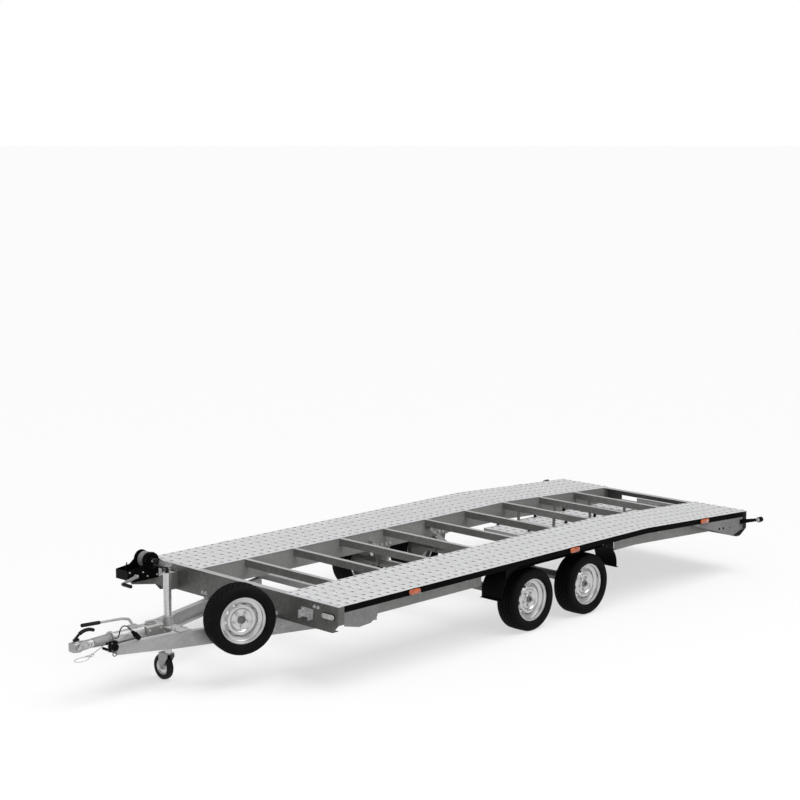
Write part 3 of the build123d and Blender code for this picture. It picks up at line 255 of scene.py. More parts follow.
def lensFinish(name, colour, deep, ribs=260.0):
    material, tree, shader = startMaterial(name)
    where = addNode(tree, "ShaderNodeTexCoord").outputs["Object"]
    ridge = addNode(tree, "ShaderNodeTexVoronoi", [("Vector", where)])
    ridge.inputs["Scale"].default_value = ribs
    mould = placeGroup(tree, grainGroup, **{"Grain Scale": 60.0, "Cloud Scale": 24.0})
    tone = arithmetic(tree, "MULTIPLY", ridge.outputs["Distance"], mould.outputs["Cloud"])
    tree.links.new(mixColour(tree, mapRange(tree, tone, 0, 0.5, 0, 1), colour, deep),
                   shader.inputs["Base Color"])
    tree.links.new(mapRange(tree, mould.outputs["Cloud"], 0, 1, 0.08, 0.2), shader.inputs["Roughness"])
    shader.inputs["Coat Weight"].default_value = 1
    shader.inputs["Coat Roughness"].default_value = 0.04
    addBump(tree, shader, ridge.outputs["Distance"], 0.35, 0.001)
    return material


def railFinish(name, black, zinc):
    # black above the band's lower line, bare zinc on the gussets and end plates below it
    material, tree, shader = startMaterial(name)
    where = addNode(tree, "ShaderNodeTexCoord").outputs["Object"]
    part = addNode(tree, "ShaderNodeSeparateXYZ", [(0, where)])
    slope = deck["drop"] / (deck["length"] - deck["kink"])
    past = arithmetic(tree, "SUBTRACT", deck["frontX"] - deck["kink"], part.outputs[0])
    drop = arithmetic(tree, "MULTIPLY", arithmetic(tree, "MAXIMUM", past, 0.0), slope)
    line = arithmetic(tree, "SUBTRACT", deck["height"] - deck["rail"] - 0.0006, drop)
    band = arithmetic(tree, "GREATER_THAN", part.outputs[2], line)
    spangle = placeGroup(tree, spangleGroup, **{"Light": zinc, "Dark": grey(zinc[0] * 0.7)})
    mould = placeGroup(tree, grainGroup, **{"Grain Scale": 700.0})
    paint = mixColour(tree, mould.outputs["Cloud"], black, grey(black[0] * 2))
    wear = placeGroup(tree, wearGroup, **{"Dust Share": 0.003, "Scuff Share": 0.004})
    tree.links.new(mixColour(tree, band, spangle.outputs["Colour"], paint), wear.inputs["Colour"])
    tree.links.new(wear.outputs["Colour"], shader.inputs["Base Color"])
    tree.links.new(mapRange(tree, mould.outputs["Cloud"], 0, 1, 0.42, 0.55), shader.inputs["Roughness"])
    tree.links.new(mapRange(tree, band, 0, 1, 0.15, 0), shader.inputs["Metallic"])
    shader.inputs["Specular IOR Level"].default_value = 0.02
    addBump(tree, shader, mould.outputs["Grain"], 0.06, 0.0006)
    return material


finishes = {
    "rail": railFinish("blackRailBand", grey(0.002), grey(0.34)),
    # bright zinc: the ear plates' own finish, and a painted highlight on the sky-facing faces of the beams and drawbar
    "brightZinc": zincFinish("lightZincAndPaintedTopLight", grey(0.66, (0.99, 1, 1)), grey(0.52), 0.25, 0.3, 0.45, dust=0.06),
    "tubeZinc": zincFinish("tubeZinc", grey(0.62), grey(0.54), 0.8, 0.2, 0.28, dust=0.03, bump=0.02),
    "barZinc": zincFinish("drawbarZinc", grey(0.52, (0.98, 1, 0.98)), grey(0.38), 0.3, 0.3, 0.46),
    "beamZinc": zincFinish("beamZinc", grey(0.24, (0.98, 1, 0.94)), grey(0.15, (0.98, 1, 0.94)), 0.15, 0.36, 0.5),
    "frontZinc": zincFinish("frontBeamZinc", grey(0.17, (0.98, 1, 0.94)), grey(0.10, (0.98, 1, 0.94)), 0.2, 0.3, 0.42,
                            cell=30.0, dust=0.06),
    "sideZinc": zincFinish("longBeamZinc", grey(0.36, (0.99, 1, 0.96)), grey(0.26, (0.99, 1, 0.96)), 0.15, 0.36, 0.5),
    "rearSteel": zincFinish("weatheredSteel", grey(0.11, (1, 0.98, 0.93)), grey(0.07), 0.15, 0.4, 0.55, dust=0.06),
    "deckSheet": zincFinish("deckSheetZinc", grey(0.82, (0.975, 0.98, 1.0)), grey(0.72), 0.1, 0.4, 0.55,
                            cell=30.0, dust=0.04),
    # the dark finish on the walls inside the deck and ramp holes is painted shade
    "holeShade": mouldedFinish("pressedHolePaintedShade", grey(0.02), grey(0.04), 0.6, 0.8, dust=0.05, specular=0.2),
    "blackPaint": mouldedFinish("blackRailPaint", grey(0.002), grey(0.004), 0.3, 0.42, grain=700.0,
                                bump=0.06, dust=0.004, scuff=0.006, specular=0.06),
    "blackPlastic": mouldedFinish("blackMudguard", grey(0.003), grey(0.006), 0.5, 0.65, dust=0.008,
                                  scuff=0.01, specular=0.05),
    "rimPaint": mouldedFinish("silverRimPaint", grey(0.66), grey(0.62), 0.22, 0.26, metallic=0.7,
                              grain=900.0, bump=0.0, dust=0.01, scuff=0.0),
    "tyre": mouldedFinish("tyreRubber", grey(0.004), grey(0.008), 0.6, 0.8, grain=900.0, bump=0.3,
                          dust=0.008, scuff=0.012, specular=0.08),
    "jockeyRubber": mouldedFinish("jockeyRubber", grey(0.005), grey(0.010), 0.5, 0.7, grain=900.0,
                                  dust=0.02, specular=0.2),
    "castIron": mouldedFinish("castIron", grey(0.3), grey(0.2), 0.45, 0.65, metallic=0.6, grain=260.0,
                              bump=0.7),
    "zincCast": mouldedFinish("zincCasting", grey(0.66), grey(0.40), 0.28, 0.42, metallic=0.45, grain=240.0,
                              bump=0.7, scuffColour=grey(0.85)),
    "bellows": mouldedFinish("greyBellows", grey(0.46), grey(0.34), 0.5, 0.7, bump=0.3),
    "grip": mouldedFinish("blackGrip", grey(0.004), grey(0.008), 0.4, 0.6, grain=600.0, bump=0.3, dust=0.01,
                          specular=0.2),
    "amber": lensFinish("amberLens", (0.85, 0.16, 0.01, 1), (0.42, 0.05, 0.005, 1)),
    "red": lensFinish("redLens", (0.62, 0.012, 0.01, 1), (0.24, 0.004, 0.004, 1)),
    "clear": lensFinish("clearLens", (0.82, 0.82, 0.8, 1), (0.5, 0.5, 0.5, 1)),
    "plate": mouldedFinish("plateSheet", grey(0.72), grey(0.64), 0.3, 0.4, grain=1200.0, bump=0.1,
                           metallic=0.2),
    "shock": mouldedFinish("shockSteel", grey(0.5), grey(0.38), 0.3, 0.45, metallic=0.7),
    "webbing": mouldedFinish("greyWebbing", grey(0.30), grey(0.22), 0.75, 0.9, grain=500.0, bump=0.9),
    "bolt": mouldedFinish("platedBolt", grey(0.7), grey(0.55), 0.24, 0.36, metallic=0.6, grain=900.0),
    "wire": mouldedFinish("steelWire", grey(0.66), grey(0.5), 0.3, 0.45, metallic=0.6, grain=900.0,
                          bump=0.9),
    "blackCable": mouldedFinish("blackCable", grey(0.006), grey(0.012), 0.4, 0.55, grain=700.0, specular=0.2),
}
print("finishes ready:", len(finishes))


# Floor, world and lamps
def makeStage():
    bm = bmesh.new()
    bmesh.ops.create_circle(bm, cap_ends=True, segments=64, radius=900)
    mesh = bpy.data.meshes.new("floor")
    bm.to_mesh(mesh)
    bm.free()
    floor = bpy.data.objects.new("floor", mesh)
    scene.collection.objects.link(floor)
    material, tree, shader = startMaterial("paleFloor")
    shader.inputs["Base Color"].default_value = (0.4, 0.4, 0.4, 1)
    shader.inputs["Roughness"].default_value = 0.9
    shader.inputs["Specular IOR Level"].default_value = 0
    rays = addNode(tree, "ShaderNodeLightPath")
    seen = arithmetic(tree, "MAXIMUM", rays.outputs["Is Camera Ray"], rays.outputs["Is Glossy Ray"])
    seen = arithmetic(tree, "MAXIMUM", seen, rays.outputs["Is Transmission Ray"])
    glow = addNode(tree, "ShaderNodeEmission")
    tree.links.new(mapRange(tree, seen, 0, 1, 0, 0.6), glow.inputs["Strength"])
    total = addNode(tree, "ShaderNodeAddShader")
    tree.links.new(shader.outputs[0], total.inputs[0])
    tree.links.new(glow.outputs[0], total.inputs[1])
    tree.links.new(total.outputs[0], tree.nodes["Material Output"].inputs["Surface"])
    mesh.materials.append(material)

    world = bpy.data.worlds.new("studio")
    scene.world = world
    world.use_nodes = True
    tree = world.node_tree
    base = tree.nodes["Background"]
    base.inputs[0].default_value, base.inputs[1].default_value = (1, 1, 1, 1), 0.33
    white = addNode(tree, "ShaderNodeBackground")
    white.inputs[0].default_value, white.inputs[1].default_value = (1, 1, 1, 1), 1
    rays = addNode(tree, "ShaderNodeLightPath")
    mixed = addNode(tree, "ShaderNodeMixShader", [(1, base.outputs[0]), (2, white.outputs[0])])
    seen = arithmetic(tree, "MAXIMUM", rays.outputs["Is Camera Ray"], rays.outputs["Is Transmission Ray"])
    # metal sees the white backdrop near the horizon only, and there in two tall bands
    way = addNode(tree, "ShaderNodeSeparateXYZ", [(0, addNode(tree, "ShaderNodeTexCoord").outputs["Generated"])])
    low = mapRange(tree, way.outputs[2], 0.12, 0.35, 1, 0)
    aside = arithmetic(tree, "ABSOLUTE", arithmetic(tree, "SUBTRACT", way.outputs[0], 0.35))
    low = arithmetic(tree, "MULTIPLY", low, mapRange(tree, aside, 0.12, 0.5, 1, 0.0))
    seen = arithmetic(tree, "MAXIMUM", seen, arithmetic(tree, "MULTIPLY", rays.outputs["Is Glossy Ray"], low))
    tree.links.new(seen, mixed.inputs[0])
    tree.links.new(mixed.outputs[0], tree.nodes["World Output"].inputs[0])

    for name, kind, place, size, power in (
        ("keyLamp", "SUN", (-1.5, 2.5, 8), 0.9, 1.95), ("fillLamp", "AREA", (7, 3, 4), 6, 60),
        ("sideLamp", "AREA", (-1, 8, 4), 7, 70),
    ):
        data = bpy.data.lights.new(name, kind)
        data.energy = power
        if kind == "SUN":
            data.angle = size
        else:
            data.size = size
        lamp = bpy.data.objects.new(name, data)
        lamp.location = place
        lamp.rotation_mode = "QUATERNION"
        lamp.rotation_quaternion = (-Vector(place)).to_track_quat("-Z", "Y")
        scene.collection.objects.link(lamp)
    scene.view_settings.view_transform = "Standard"


makeStage()
print("stage ready")


# Mesh helpers
def finishPiece(name, bm, body, material, replaced=(), smooth=35, bevel=None, mend=True):
    if mend:
        bmesh.ops.remove_doubles(bm, verts=bm.verts, dist=0.00002)
        bmesh.ops.recalc_face_normals(bm, faces=bm.faces)
    mesh = bpy.data.meshes.new(name)
    bm.to_mesh(mesh)
    bm.free()
    piece = bpy.data.objects.new(name, mesh)
    scene.collection.objects.link(piece)
    materials = material if isinstance(material, (list, tuple)) else [material]
    for entry in materials:
        mesh.materials.append(finishes[entry])
    if smooth:
        mesh.shade_smooth()
        mesh.set_sharp_from_angle(angle=math.radians(smooth))
    if bevel:
        chamfer = piece.modifiers.new("softEdges", "BEVEL")
        chamfer.width, chamfer.segments, chamfer.limit_method = bevel, 2, "ANGLE"
        chamfer.angle_limit = math.radians(40)
    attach(piece, body)
    if replaced:
        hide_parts(*replaced)
    return piece


def frameOf(place, axis, along=None):
    # matrix whose Z runs along axis and whose X lies towards along
    z = Vector(axis).normalized()
    x = Vector(along) if along else (Vector((0, 0, 1)) if abs(z.z) < 0.9 else Vector((1, 0, 0)))
    x = (x - z * x.dot(z)).normalized()
    matrix = Matrix((x, z.cross(x), z)).transposed().to_4x4()
    matrix.translation = Vector(place)
    return matrix


def lathe(bm, profile, matrix, steps):
    # profile of (along, radius) pairs, spun about the matrix's Z
    verts = [bm.verts.new(matrix @ Vector((radius, 0, along))) for along, radius in profile]
    edges = [bm.edges.new(pair) for pair in zip(verts, verts[1:])]
    axis = matrix.to_3x3() @ Vector((0, 0, 1))
    made = bmesh.ops.spin(bm, geom=verts + edges, cent=matrix.translation, axis=axis,
                          angle=2 * math.pi, steps=steps, use_merge=True)
    return made


def rod(bm, start, end, radius, segments=20, radiusEnd=None):
    start, end = Vector(start), Vector(end)
    matrix = frameOf((start + end) / 2, end - start)
    bmesh.ops.create_cone(bm, cap_ends=True, segments=segments, radius1=radius,
                          radius2=radius if radiusEnd is None else radiusEnd,
                          depth=(end - start).length, matrix=matrix)


def block(bm, centre, size, turnZ=0.0):
    matrix = (Matrix.Translation(centre) @ Matrix.Rotation(turnZ, 4, "Z")
              @ Matrix.Diagonal((*size, 1)))
    return bmesh.ops.create_cube(bm, size=1, matrix=matrix)["verts"]


def boltInto(bm, place, normal, across, height=None, washer=1.9):
    matrix = frameOf(place, normal)
    thick = 0.12 * across
    tall = height or 0.6 * across
    if washer:
        bmesh.ops.create_cone(bm, cap_ends=True, segments=16, radius1=across * washer / 2,
                              radius2=across * washer / 2 - 0.0004, depth=thick,
                              matrix=matrix @ Matrix.Translation((0, 0, thick / 2)))
    bmesh.ops.create_cone(bm, cap_ends=True, segments=6, radius1=across * 0.577, radius2=across * 0.577,
                          depth=tall, matrix=matrix @ Matrix.Translation((0, 0, thick + tall / 2)))
    bmesh.ops.create_cone(bm, cap_ends=True, segments=12, radius1=across * 0.5, radius2=across * 0.36,
                          depth=tall * 0.2, matrix=matrix @ Matrix.Translation((0, 0, thick + tall * 1.08)))


# Cords
def nurbsCord(name, route, diameter, material):
    curve = bpy.data.curves.new(name, "CURVE")
    curve.dimensions = "3D"
    curve.bevel_depth, curve.bevel_resolution, curve.resolution_u = diameter / 2, 4, 10
    curve.use_fill_caps = True
    spline = curve.splines.new("NURBS")
    spline.points.add(len(route) - 1)
    for target, (reach, y, z) in zip(spline.points, route):
        target.co = (at(reach), y, z, 1)
    spline.order_u = 3
    spline.use_endpoint_u = True
    curve.materials.append(finishes[material])
    cord = bpy.data.objects.new(name, curve)
    scene.collection.objects.link(cord)
    return cord


plugCable = {
    "diameter": 0.009, "length": 0.262,
    "route": [
        (1.212, 0.0532, 0.446), (1.216, 0.092, 0.452), (1.222, 0.116, 0.484), (1.216, 0.122, 0.524),
        (1.190, 0.122, 0.546), (1.155, 0.120, 0.538), (1.128, 0.116, 0.510), (1.100, 0.113, 0.482),
    ],
}
breakawayCable = {
    "diameter": 0.005, "length": 0.496,
    "route": [
        (1.221, -0.034, 0.405), (1.246, -0.036, 0.384), (1.284, -0.034, 0.366), (1.330, -0.028, 0.350),
        (1.374, -0.014, 0.340), (1.412, 0.016, 0.334), (1.450, 0.040, 0.330), (1.490, 0.040, 0.326),
        (1.518, 0.014, 0.322), (1.518, -0.026, 0.320), (1.490, -0.052, 0.322), (1.450, -0.050, 0.326),
        (1.412, -0.030, 0.332),
    ],
}
cable = nurbsCord("plugCableCord", plugCable["route"], plugCable["diameter"], "blackCable")
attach(cable, "chassis")
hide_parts("plug_cable")
reach, y, z = plugCable["route"][0]
wire = nurbsCord("breakawayWire", breakawayCable["route"], breakawayCable["diameter"], "wire")
# its far end is pressed into a sleeve, beside a spring hook
sleeveEnd = Vector((at(1.404), -0.0265, 0.3335))
bm = bmesh.new()
sleeveWay = Vector((-0.0376, 0.0195, 0.0055)).normalized()
lathe(bm, [(-0.010, 0.0026), (-0.010, 0.0052), (-0.004, 0.0056), (0.012, 0.0056), (0.016, 0.0046), (0.016, 0)],
      frameOf(sleeveEnd, sleeveWay), 20)
hookFrame = frameOf(sleeveEnd + sleeveWay * 0.034, (0, 1, 0), sleeveWay)
hookLine = [(0.020, 0.0), (0.014, 0.0088), (0, 0.0102), (-0.014, 0.0088), (-0.020, 0), (-0.014, -0.0088),
            (0, -0.0102), (0.014, -0.0088)]
for first, second in zip(hookLine, hookLine[1:] + hookLine[:1]):
    rod(bm, hookFrame @ Vector((*first, 0)), hookFrame @ Vector((*second, 0)), 0.0022, 10)
sleeve = finishPiece("breakawaySleeve", bm, "chassis", "bolt", smooth=40)
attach(wire, "chassis")
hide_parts("breakaway_cable")
reach, y, z = breakawayCable["route"][0]
print("cords laid")


# Deck and ramp sheets with rows of raised oval holes
runwaySheet = {
    "pitch": 0.0842, "first": 0.041, "lines": (0.553, 0.635, 0.755, 0.875, 0.995, 1.077),
    "inner": 0.515, "outer": 1.1155, "front": 0.003, "rear": 5.267, "lift": 0.0014, "fold": 0.007,
    "thickness": 0.003,
}
ovalHole = {"halfWidth": 0.0068, "halfLength": 0.0195, "segments": 16,
            "steps": ((0.0, -0.0050), (0.0008, 0.0024), (0.0028, 0.0024), (0.0060, 0.0))}


def holeTemplate(name, low, high):
    # one cell of sheet from low to high round a hole at the origin; the rim stands proud
    bm = bmesh.new()
    rings = []
    straight = ovalHole["halfLength"] - ovalHole["halfWidth"]
    for grow, height in ovalHole["steps"]:
        made = bmesh.ops.create_circle(bm, cap_ends=False, segments=ovalHole["segments"], radius=1)
        radius = ovalHole["halfWidth"] + grow
        for vert in made["verts"]:
            shift = math.copysign(straight, vert.co.y) if abs(vert.co.y) > 0.001 else 0
            vert.co = (vert.co.x * radius, vert.co.y * radius + shift, height)
        rings.append(made["verts"])
    made = bmesh.ops.create_circle(bm, cap_ends=False, segments=ovalHole["segments"], radius=math.sqrt(2))
    for vert in made["verts"]:
        x, y = (max(-1, min(1, value)) for value in vert.co.xy)
        vert.co = (x * (high[0] if x > 0 else -low[0]), y * (high[1] if y > 0 else -low[1]), 0)
    rings.append(made["verts"])
    for first, second in zip(rings, rings[1:]):
        both = set(first) | set(second)
        edges = [e for e in bm.edges if e.verts[0] in both and e.verts[1] in both
                 and (e.verts[0] in first) == (e.verts[1] in first)]
        made = bmesh.ops.bridge_loops(bm, edges=edges)["faces"]
        for face in made:
            # the wall inside each hole takes the painted shade finish
            face.material_index = 1 if first is rings[0] else 0  # the wall inside the hole
    bmesh.ops.recalc_face_normals(bm, faces=bm.faces)
    bm.normal_update()
    if sum(face.normal.z for face in bm.faces if face.material_index == 0) < 0:
        bmesh.ops.reverse_faces(bm, faces=bm.faces)
    mesh = bpy.data.meshes.new(name)
    bm.to_mesh(mesh)
    bm.free()
    return mesh


def perforatedSheet(stations, lines, front, rear, inner, outer):
    # sheet in (behind, sideways) coordinates: X runs backwards from the deck's front edge
    bm = bmesh.new()
    cuts = [inner] + [(a + b) / 2 for a, b in zip(lines, lines[1:])] + [outer]
    half = (stations[1] - stations[0]) / 2
    for index, line in enumerate(lines):
        for kind, chosen in (("Front", stations[:1]), ("Middle", stations[1:-1]), ("Rear", stations[-1:])):
            low = (front - stations[0] if kind == "Front" else -half, cuts[index] - line)
            high = (rear - stations[-1] if kind == "Rear" else half, cuts[index + 1] - line)
            template = holeTemplate("cell" + kind, low, high)
            before = Vector((0, 0, 0))
            for station in chosen:
                place = Vector((station, line, 0))
                template.transform(Matrix.Translation(place - before))
                before = place
                bm.from_mesh(template)
            bpy.data.meshes.remove(template)
    bmesh.ops.remove_doubles(bm, verts=bm.verts, dist=0.0001)
    return bm


def foldEdges(bm, test, move):
    edges = [e for e in bm.edges if e.is_boundary and all(test(v.co) for v in e.verts)]
    made = bmesh.ops.extrude_edge_only(bm, edges=edges)["geom"]
    bmesh.ops.translate(bm, verts=[g for g in made if isinstance(g, bmesh.types.BMVert)], vec=move)


def thicken(piece, thickness):
    wall = piece.modifiers.new("sheetThickness", "SOLIDIFY")
    wall.thickness, wall.offset = thickness, -1


def makeRunway(side, name, node):
    sheet = runwaySheet
    count = int((sheet["rear"] - sheet["first"] - sheet["front"]) / sheet["pitch"])
    stations = [sheet["first"] + sheet["pitch"] * i for i in range(count + 1)]
    bm = perforatedSheet(stations, sheet["lines"], sheet["front"], sheet["rear"], sheet["inner"],
                         sheet["outer"])
    bmesh.ops.bisect_plane(bm, geom=bm.verts[:] + bm.edges[:] + bm.faces[:],
                           plane_co=(deck["kink"], 0, 0), plane_no=(1, 0, 0), dist=0.00001)
    foldEdges(bm, lambda c: c.y > sheet["outer"] - 0.0002, (0, 0, -0.001))
    foldEdges(bm, lambda c: c.y < sheet["inner"] + 0.0002, (0, 0, -sheet["fold"]))
    for vert in bm.verts:
        behind, y, z = vert.co
        vert.co = (at(-behind), y * side, z + deckTop(behind) + sheet["lift"])
    bmesh.ops.recalc_face_normals(bm, faces=bm.faces)
    bm.normal_update()
    if sum(face.normal.z * face.calc_area() for face in bm.faces) < 0:
        bmesh.ops.reverse_faces(bm, faces=bm.faces)
    piece = finishPiece(name, bm, "chassis", ["deckSheet", "holeShade"], [node], smooth=22,
                        mend=False)
    thicken(piece, sheet["thickness"])


makeRunway(1, "runwaySheetLeft", "runway_left")
makeRunway(-1, "runwaySheetRight", "runway_right")
print("runway sheets made")


# Ramps stowed under the rear of the deck
rampSheet = {"front": 3.200, "rear": 5.236, "middle": 0.088, "gap": 0.022, "width": 0.410, "wall": 0.056,
             "below": 0.083, "rise": 0.028, "pitch": 0.0842, "lines": (-0.140, -0.047, 0.047, 0.140)}


def rampTop(behind):
    slope = rampSheet["rise"] / (rampSheet["rear"] - rampSheet["front"])
    return deckTop(deck["length"]) - rampSheet["below"] + slope * (rampSheet["rear"] - behind)


def makeRamps():
    whole = bmesh.new()
    ramp = rampSheet
    count = int((ramp["rear"] - ramp["front"]) / ramp["pitch"]) - 1
    stations = [ramp["front"] + ramp["pitch"] * (i + 0.6) for i in range(count + 1)]
    for side in (1, -1):
        mid = ramp["middle"] + side * (ramp["gap"] + ramp["width"]) / 2
        edge = ramp["width"] / 2
        bm = perforatedSheet(stations, ramp["lines"], ramp["front"], ramp["rear"], -edge, edge)
        for test in (lambda c: abs(c.y) > edge - 0.0002, lambda c: c.x < ramp["front"] + 0.0002):
            foldEdges(bm, lambda c, t=test: t(c) and c.z > -0.001, (0, 0, -ramp["wall"] + 0.001))
        bmesh.ops.remove_doubles(bm, verts=bm.verts, dist=0.0001)
        for vert in bm.verts:
            behind, y, z = vert.co
            vert.co = (at(-behind), y + mid, z + rampTop(behind) - 0.0035)
        bmesh.ops.recalc_face_normals(bm, faces=bm.faces)
        bm.normal_update()
        if sum(f.normal.z * f.calc_area() for f in bm.faces if abs(f.normal.z) > 0.9) < 0:
            bmesh.ops.reverse_faces(bm, faces=bm.faces)
        mesh = bpy.data.meshes.new("ramp")
        bm.to_mesh(mesh)
        bm.free()
        whole.from_mesh(mesh)
        bpy.data.meshes.remove(mesh)
    piece = finishPiece("rampSheets", whole, "chassis", ["deckSheet", "holeShade"], ["ramps"], smooth=22,
                        mend=False)
    thicken(piece, 0.0028)


makeRamps()
print("ramps made")


# Road wheels
wheel = {
    "radius": 0.2625, "width": 0.196, "rimWidth": 0.152, "flange": 0.176, "grooves": (-0.045, -0.016, 0.016, 0.045),
    "grooveHalf": 0.0035, "grooveDepth": 0.007, "steps": 216, "outer": 1.061, "face": -0.046,
    "boltCircle": 0.056, "ahead": (-2.242, -2.968),
}
spare = {"place": (0.408, 0.531, 0.507), "turn": 20}


def wheelPlace(x, y, z, turnDegrees):
    # local frame of a wheel: Y outwards along the axle, the outer rim plane at Y = 0
    return Matrix.Translation((x, y, z)) @ Matrix.Rotation(math.radians(turnDegrees), 4, "Z")


wheelTable = [
    # body, node ending, matrix
    ("wheel_front_left", "front_left", wheelPlace(at(wheel["ahead"][0]), wheel["outer"], wheel["radius"], 0)),
    ("wheel_front_right", "front_right", wheelPlace(at(wheel["ahead"][0]), -wheel["outer"], wheel["radius"], 180)),
    ("wheel_rear_left", "rear_left", wheelPlace(at(wheel["ahead"][1]), wheel["outer"], wheel["radius"], 0)),
    ("wheel_rear_right", "rear_right", wheelPlace(at(wheel["ahead"][1]), -wheel["outer"], wheel["radius"], 180)),
    ("chassis", "spare", wheelPlace(at(spare["place"][0]), spare["place"][1], spare["place"][2], -spare["turn"])),
]


def axleFrame(matrix):
    # the lathe's frame: its Z is the wheel's Y
    return matrix @ Matrix.Rotation(-math.pi / 2, 4, "X")


def makeTyre(name, body, node, matrix):
    r, half, mid = wheel["radius"], wheel["width"] / 2, -wheel["rimWidth"] / 2
    outerSide = [
        (wheel["rimWidth"] / 2 - 0.0115, 0.1665), (wheel["rimWidth"] / 2 - 0.0113, wheel["flange"] + 0.0004),
        (wheel["rimWidth"] / 2 - 0.001, wheel["flange"] + 0.004), (half - 0.012, 0.186),
        (half - 0.0065, 0.189), (half - 0.0062, 0.193), (half - 0.0035, 0.202), (half - 0.0008, 0.213),
        (half - 0.0002, 0.221), (half - 0.0012, 0.226), (half - 0.0014, 0.2275), (half - 0.0035, 0.2385),
        (half - 0.009, 0.2485), (half - 0.017, 0.2555), (half - 0.0275, r - 0.0022),
    ]
    tread = []
    for groove in reversed(wheel["grooves"]):
        crown = r - 0.6 * groove ** 2
        tread += [(groove + wheel["grooveHalf"], crown), (groove + wheel["grooveHalf"] * 0.6, crown - wheel["grooveDepth"]),
                  (groove - wheel["grooveHalf"] * 0.6, crown - wheel["grooveDepth"]),
                  (groove - wheel["grooveHalf"], crown)]
    profile = outerSide + tread + [(-a, b) for a, b in reversed(outerSide)]
    bm = bmesh.new()
    lathe(bm, [(mid + a, b) for a, b in profile + profile[:1]], axleFrame(matrix), wheel["steps"])
    bmesh.ops.remove_doubles(bm, verts=bm.verts, dist=0.00002)
    bmesh.ops.recalc_face_normals(bm, faces=bm.faces)
    # cross cuts between the blocks, one step wide
    back = axleFrame(matrix).inverted()
    cuts = []
    for face in bm.faces:
        middle = back @ face.calc_center_median()
        radius, along = middle.xy.length, middle.z - mid
        if radius < r - 0.0035 or abs(along) > half - 0.020:
            continue
        if any(abs(along - g) < wheel["grooveHalf"] for g in wheel["grooves"]):
            continue
        step = int(round((math.atan2(middle.y, middle.x) / (2 * math.pi)) * wheel["steps"] + along * 120))
        if step % 6 == 0:
            cuts.append(face)
    made = bmesh.ops.extrude_discrete_faces(bm, faces=cuts)["faces"]
    for face in made:
        bmesh.ops.translate(bm, verts=face.verts, vec=-face.normal * 0.005)
    finishPiece(name, bm, body, "tyre", [node], smooth=32, mend=False)


def makeRim(name, body, node, matrix):
    flange, seat, well, wall = wheel["flange"], 0.166, 0.138, 0.0035
    face = wheel["face"]
    outside = [
        (0.0, flange - 0.0035), (0.0006, flange - 0.001), (-0.002, flange), (-0.0085, flange),
        (-0.0100, seat + 0.004), (-0.012, seat), (-0.034, seat), (-0.037, seat - 0.002), (-0.046, well),
        (-0.084, well), (-0.096, seat - 0.002), (-0.098, seat), (-0.141, seat), (-0.143, flange),
        (-0.1515, flange), (-0.152, flange - wall),
    ]
    inside = [
        (-0.147, flange - wall), (-0.144, seat - wall), (-0.100, seat - wall), (-0.086, well - wall),
        (-0.044, well - wall), (-0.035, seat - 0.006), (-0.032, seat - wall), (-0.010, seat - wall),
        (-0.0075, seat), (-0.006, flange - 0.006), (-0.0025, flange - 0.0045),
    ]
    bm = bmesh.new()
    turned = axleFrame(matrix)
    lathe(bm, outside + inside + outside[:1], turned, 120)
    finishPiece(name + "Barrel", bm, body, "rimPaint", [node], smooth=40)
    # dished disc with a ring of slots, made as one skin and thickened
    disc = [
        (face - 0.014, well - wall - 0.0003), (face - 0.007, 0.1325), (face - 0.003, 0.1265),
        (face + 0.001, 0.1215), (face + 0.006, 0.1165), (face + 0.0125, 0.1105), (face + 0.0165, 0.1045),
        (face + 0.0175, 0.0985), (face + 0.0155, 0.0925), (face + 0.010, 0.0865), (face + 0.0035, 0.0815),
        (face + 0.0005, 0.077), (face, 0.070), (face, 0.042), (face + 0.0005, 0.0365),
        (face + 0.004, 0.0325), (face + 0.0085, 0.0302),
    ]
    bm = bmesh.new()
    lathe(bm, disc, turned, 120)
    back = turned.inverted()
    slots = []
    for each in bm.faces:
        middle = back @ each.calc_center_median()
        angle = math.degrees(math.atan2(middle.y, middle.x)) % 36
        if 0.1165 < middle.xy.length < 0.1265 and angle < 12:
            slots.append(each)
    bmesh.ops.delete(bm, geom=slots, context="FACES")
    bmesh.ops.recalc_face_normals(bm, faces=bm.faces)
    piece = finishPiece(name + "Disc", bm, body, "rimPaint", smooth=40, mend=False)
    thicken(piece, 0.004)
    piece.modifiers["sheetThickness"].offset = 0
    # wheel bolts with tapered seats
    bm = bmesh.new()
    for i in range(5):
        angle = 2 * math.pi * (i + 0.25) / 5
        spot = Vector((math.cos(angle) * wheel["boltCircle"], math.sin(angle) * wheel["boltCircle"], 0))
        base = turned @ (spot + Vector((0, 0, face)))
        axis = turned.to_3x3() @ Vector((0, 0, 1))
        rod(bm, base, base + axis * 0.004, 0.0135, 16, 0.0115)
        rod(bm, base + axis * 0.004, base + axis * 0.016, 0.0112, 6)
        rod(bm, base + axis * 0.016, base + axis * 0.0185, 0.0095, 12, 0.0075)
    finishPiece(name + "Bolts", bm, body, "bolt", smooth=30, bevel=0.0006)
    # hub with a grease cap
    bm = bmesh.new()
    lathe(bm, [(face - 0.004, 0.0295), (face + 0.017, 0.0290), (face + 0.0195, 0.0270), (face + 0.0195, 0.0245),
               (face + 0.006, 0.0235), (face + 0.006, 0.0)], turned, 48)
    bmesh.ops.remove_doubles(bm, verts=bm.verts, dist=0.00002)
    finishPiece(name + "Hub", bm, body, "castIron", smooth=40)


for body, ending, matrix in wheelTable:
    isSpare = ending == "spare"
    label = "".join(part.title() for part in ending.split("_"))
    makeTyre("tyre" + label, body, "spare_tyre" if isSpare else f"tyre_{ending}", matrix)
    makeRim("rim" + label, body, "spare_rim" if isSpare else f"rim_{ending}", matrix)
print("road wheels made")


# Jockey wheel
jockey = {"x": 0.690, "y": -0.062, "z": 0.098, "radius": 0.098, "width": 0.050, "steps": 96}


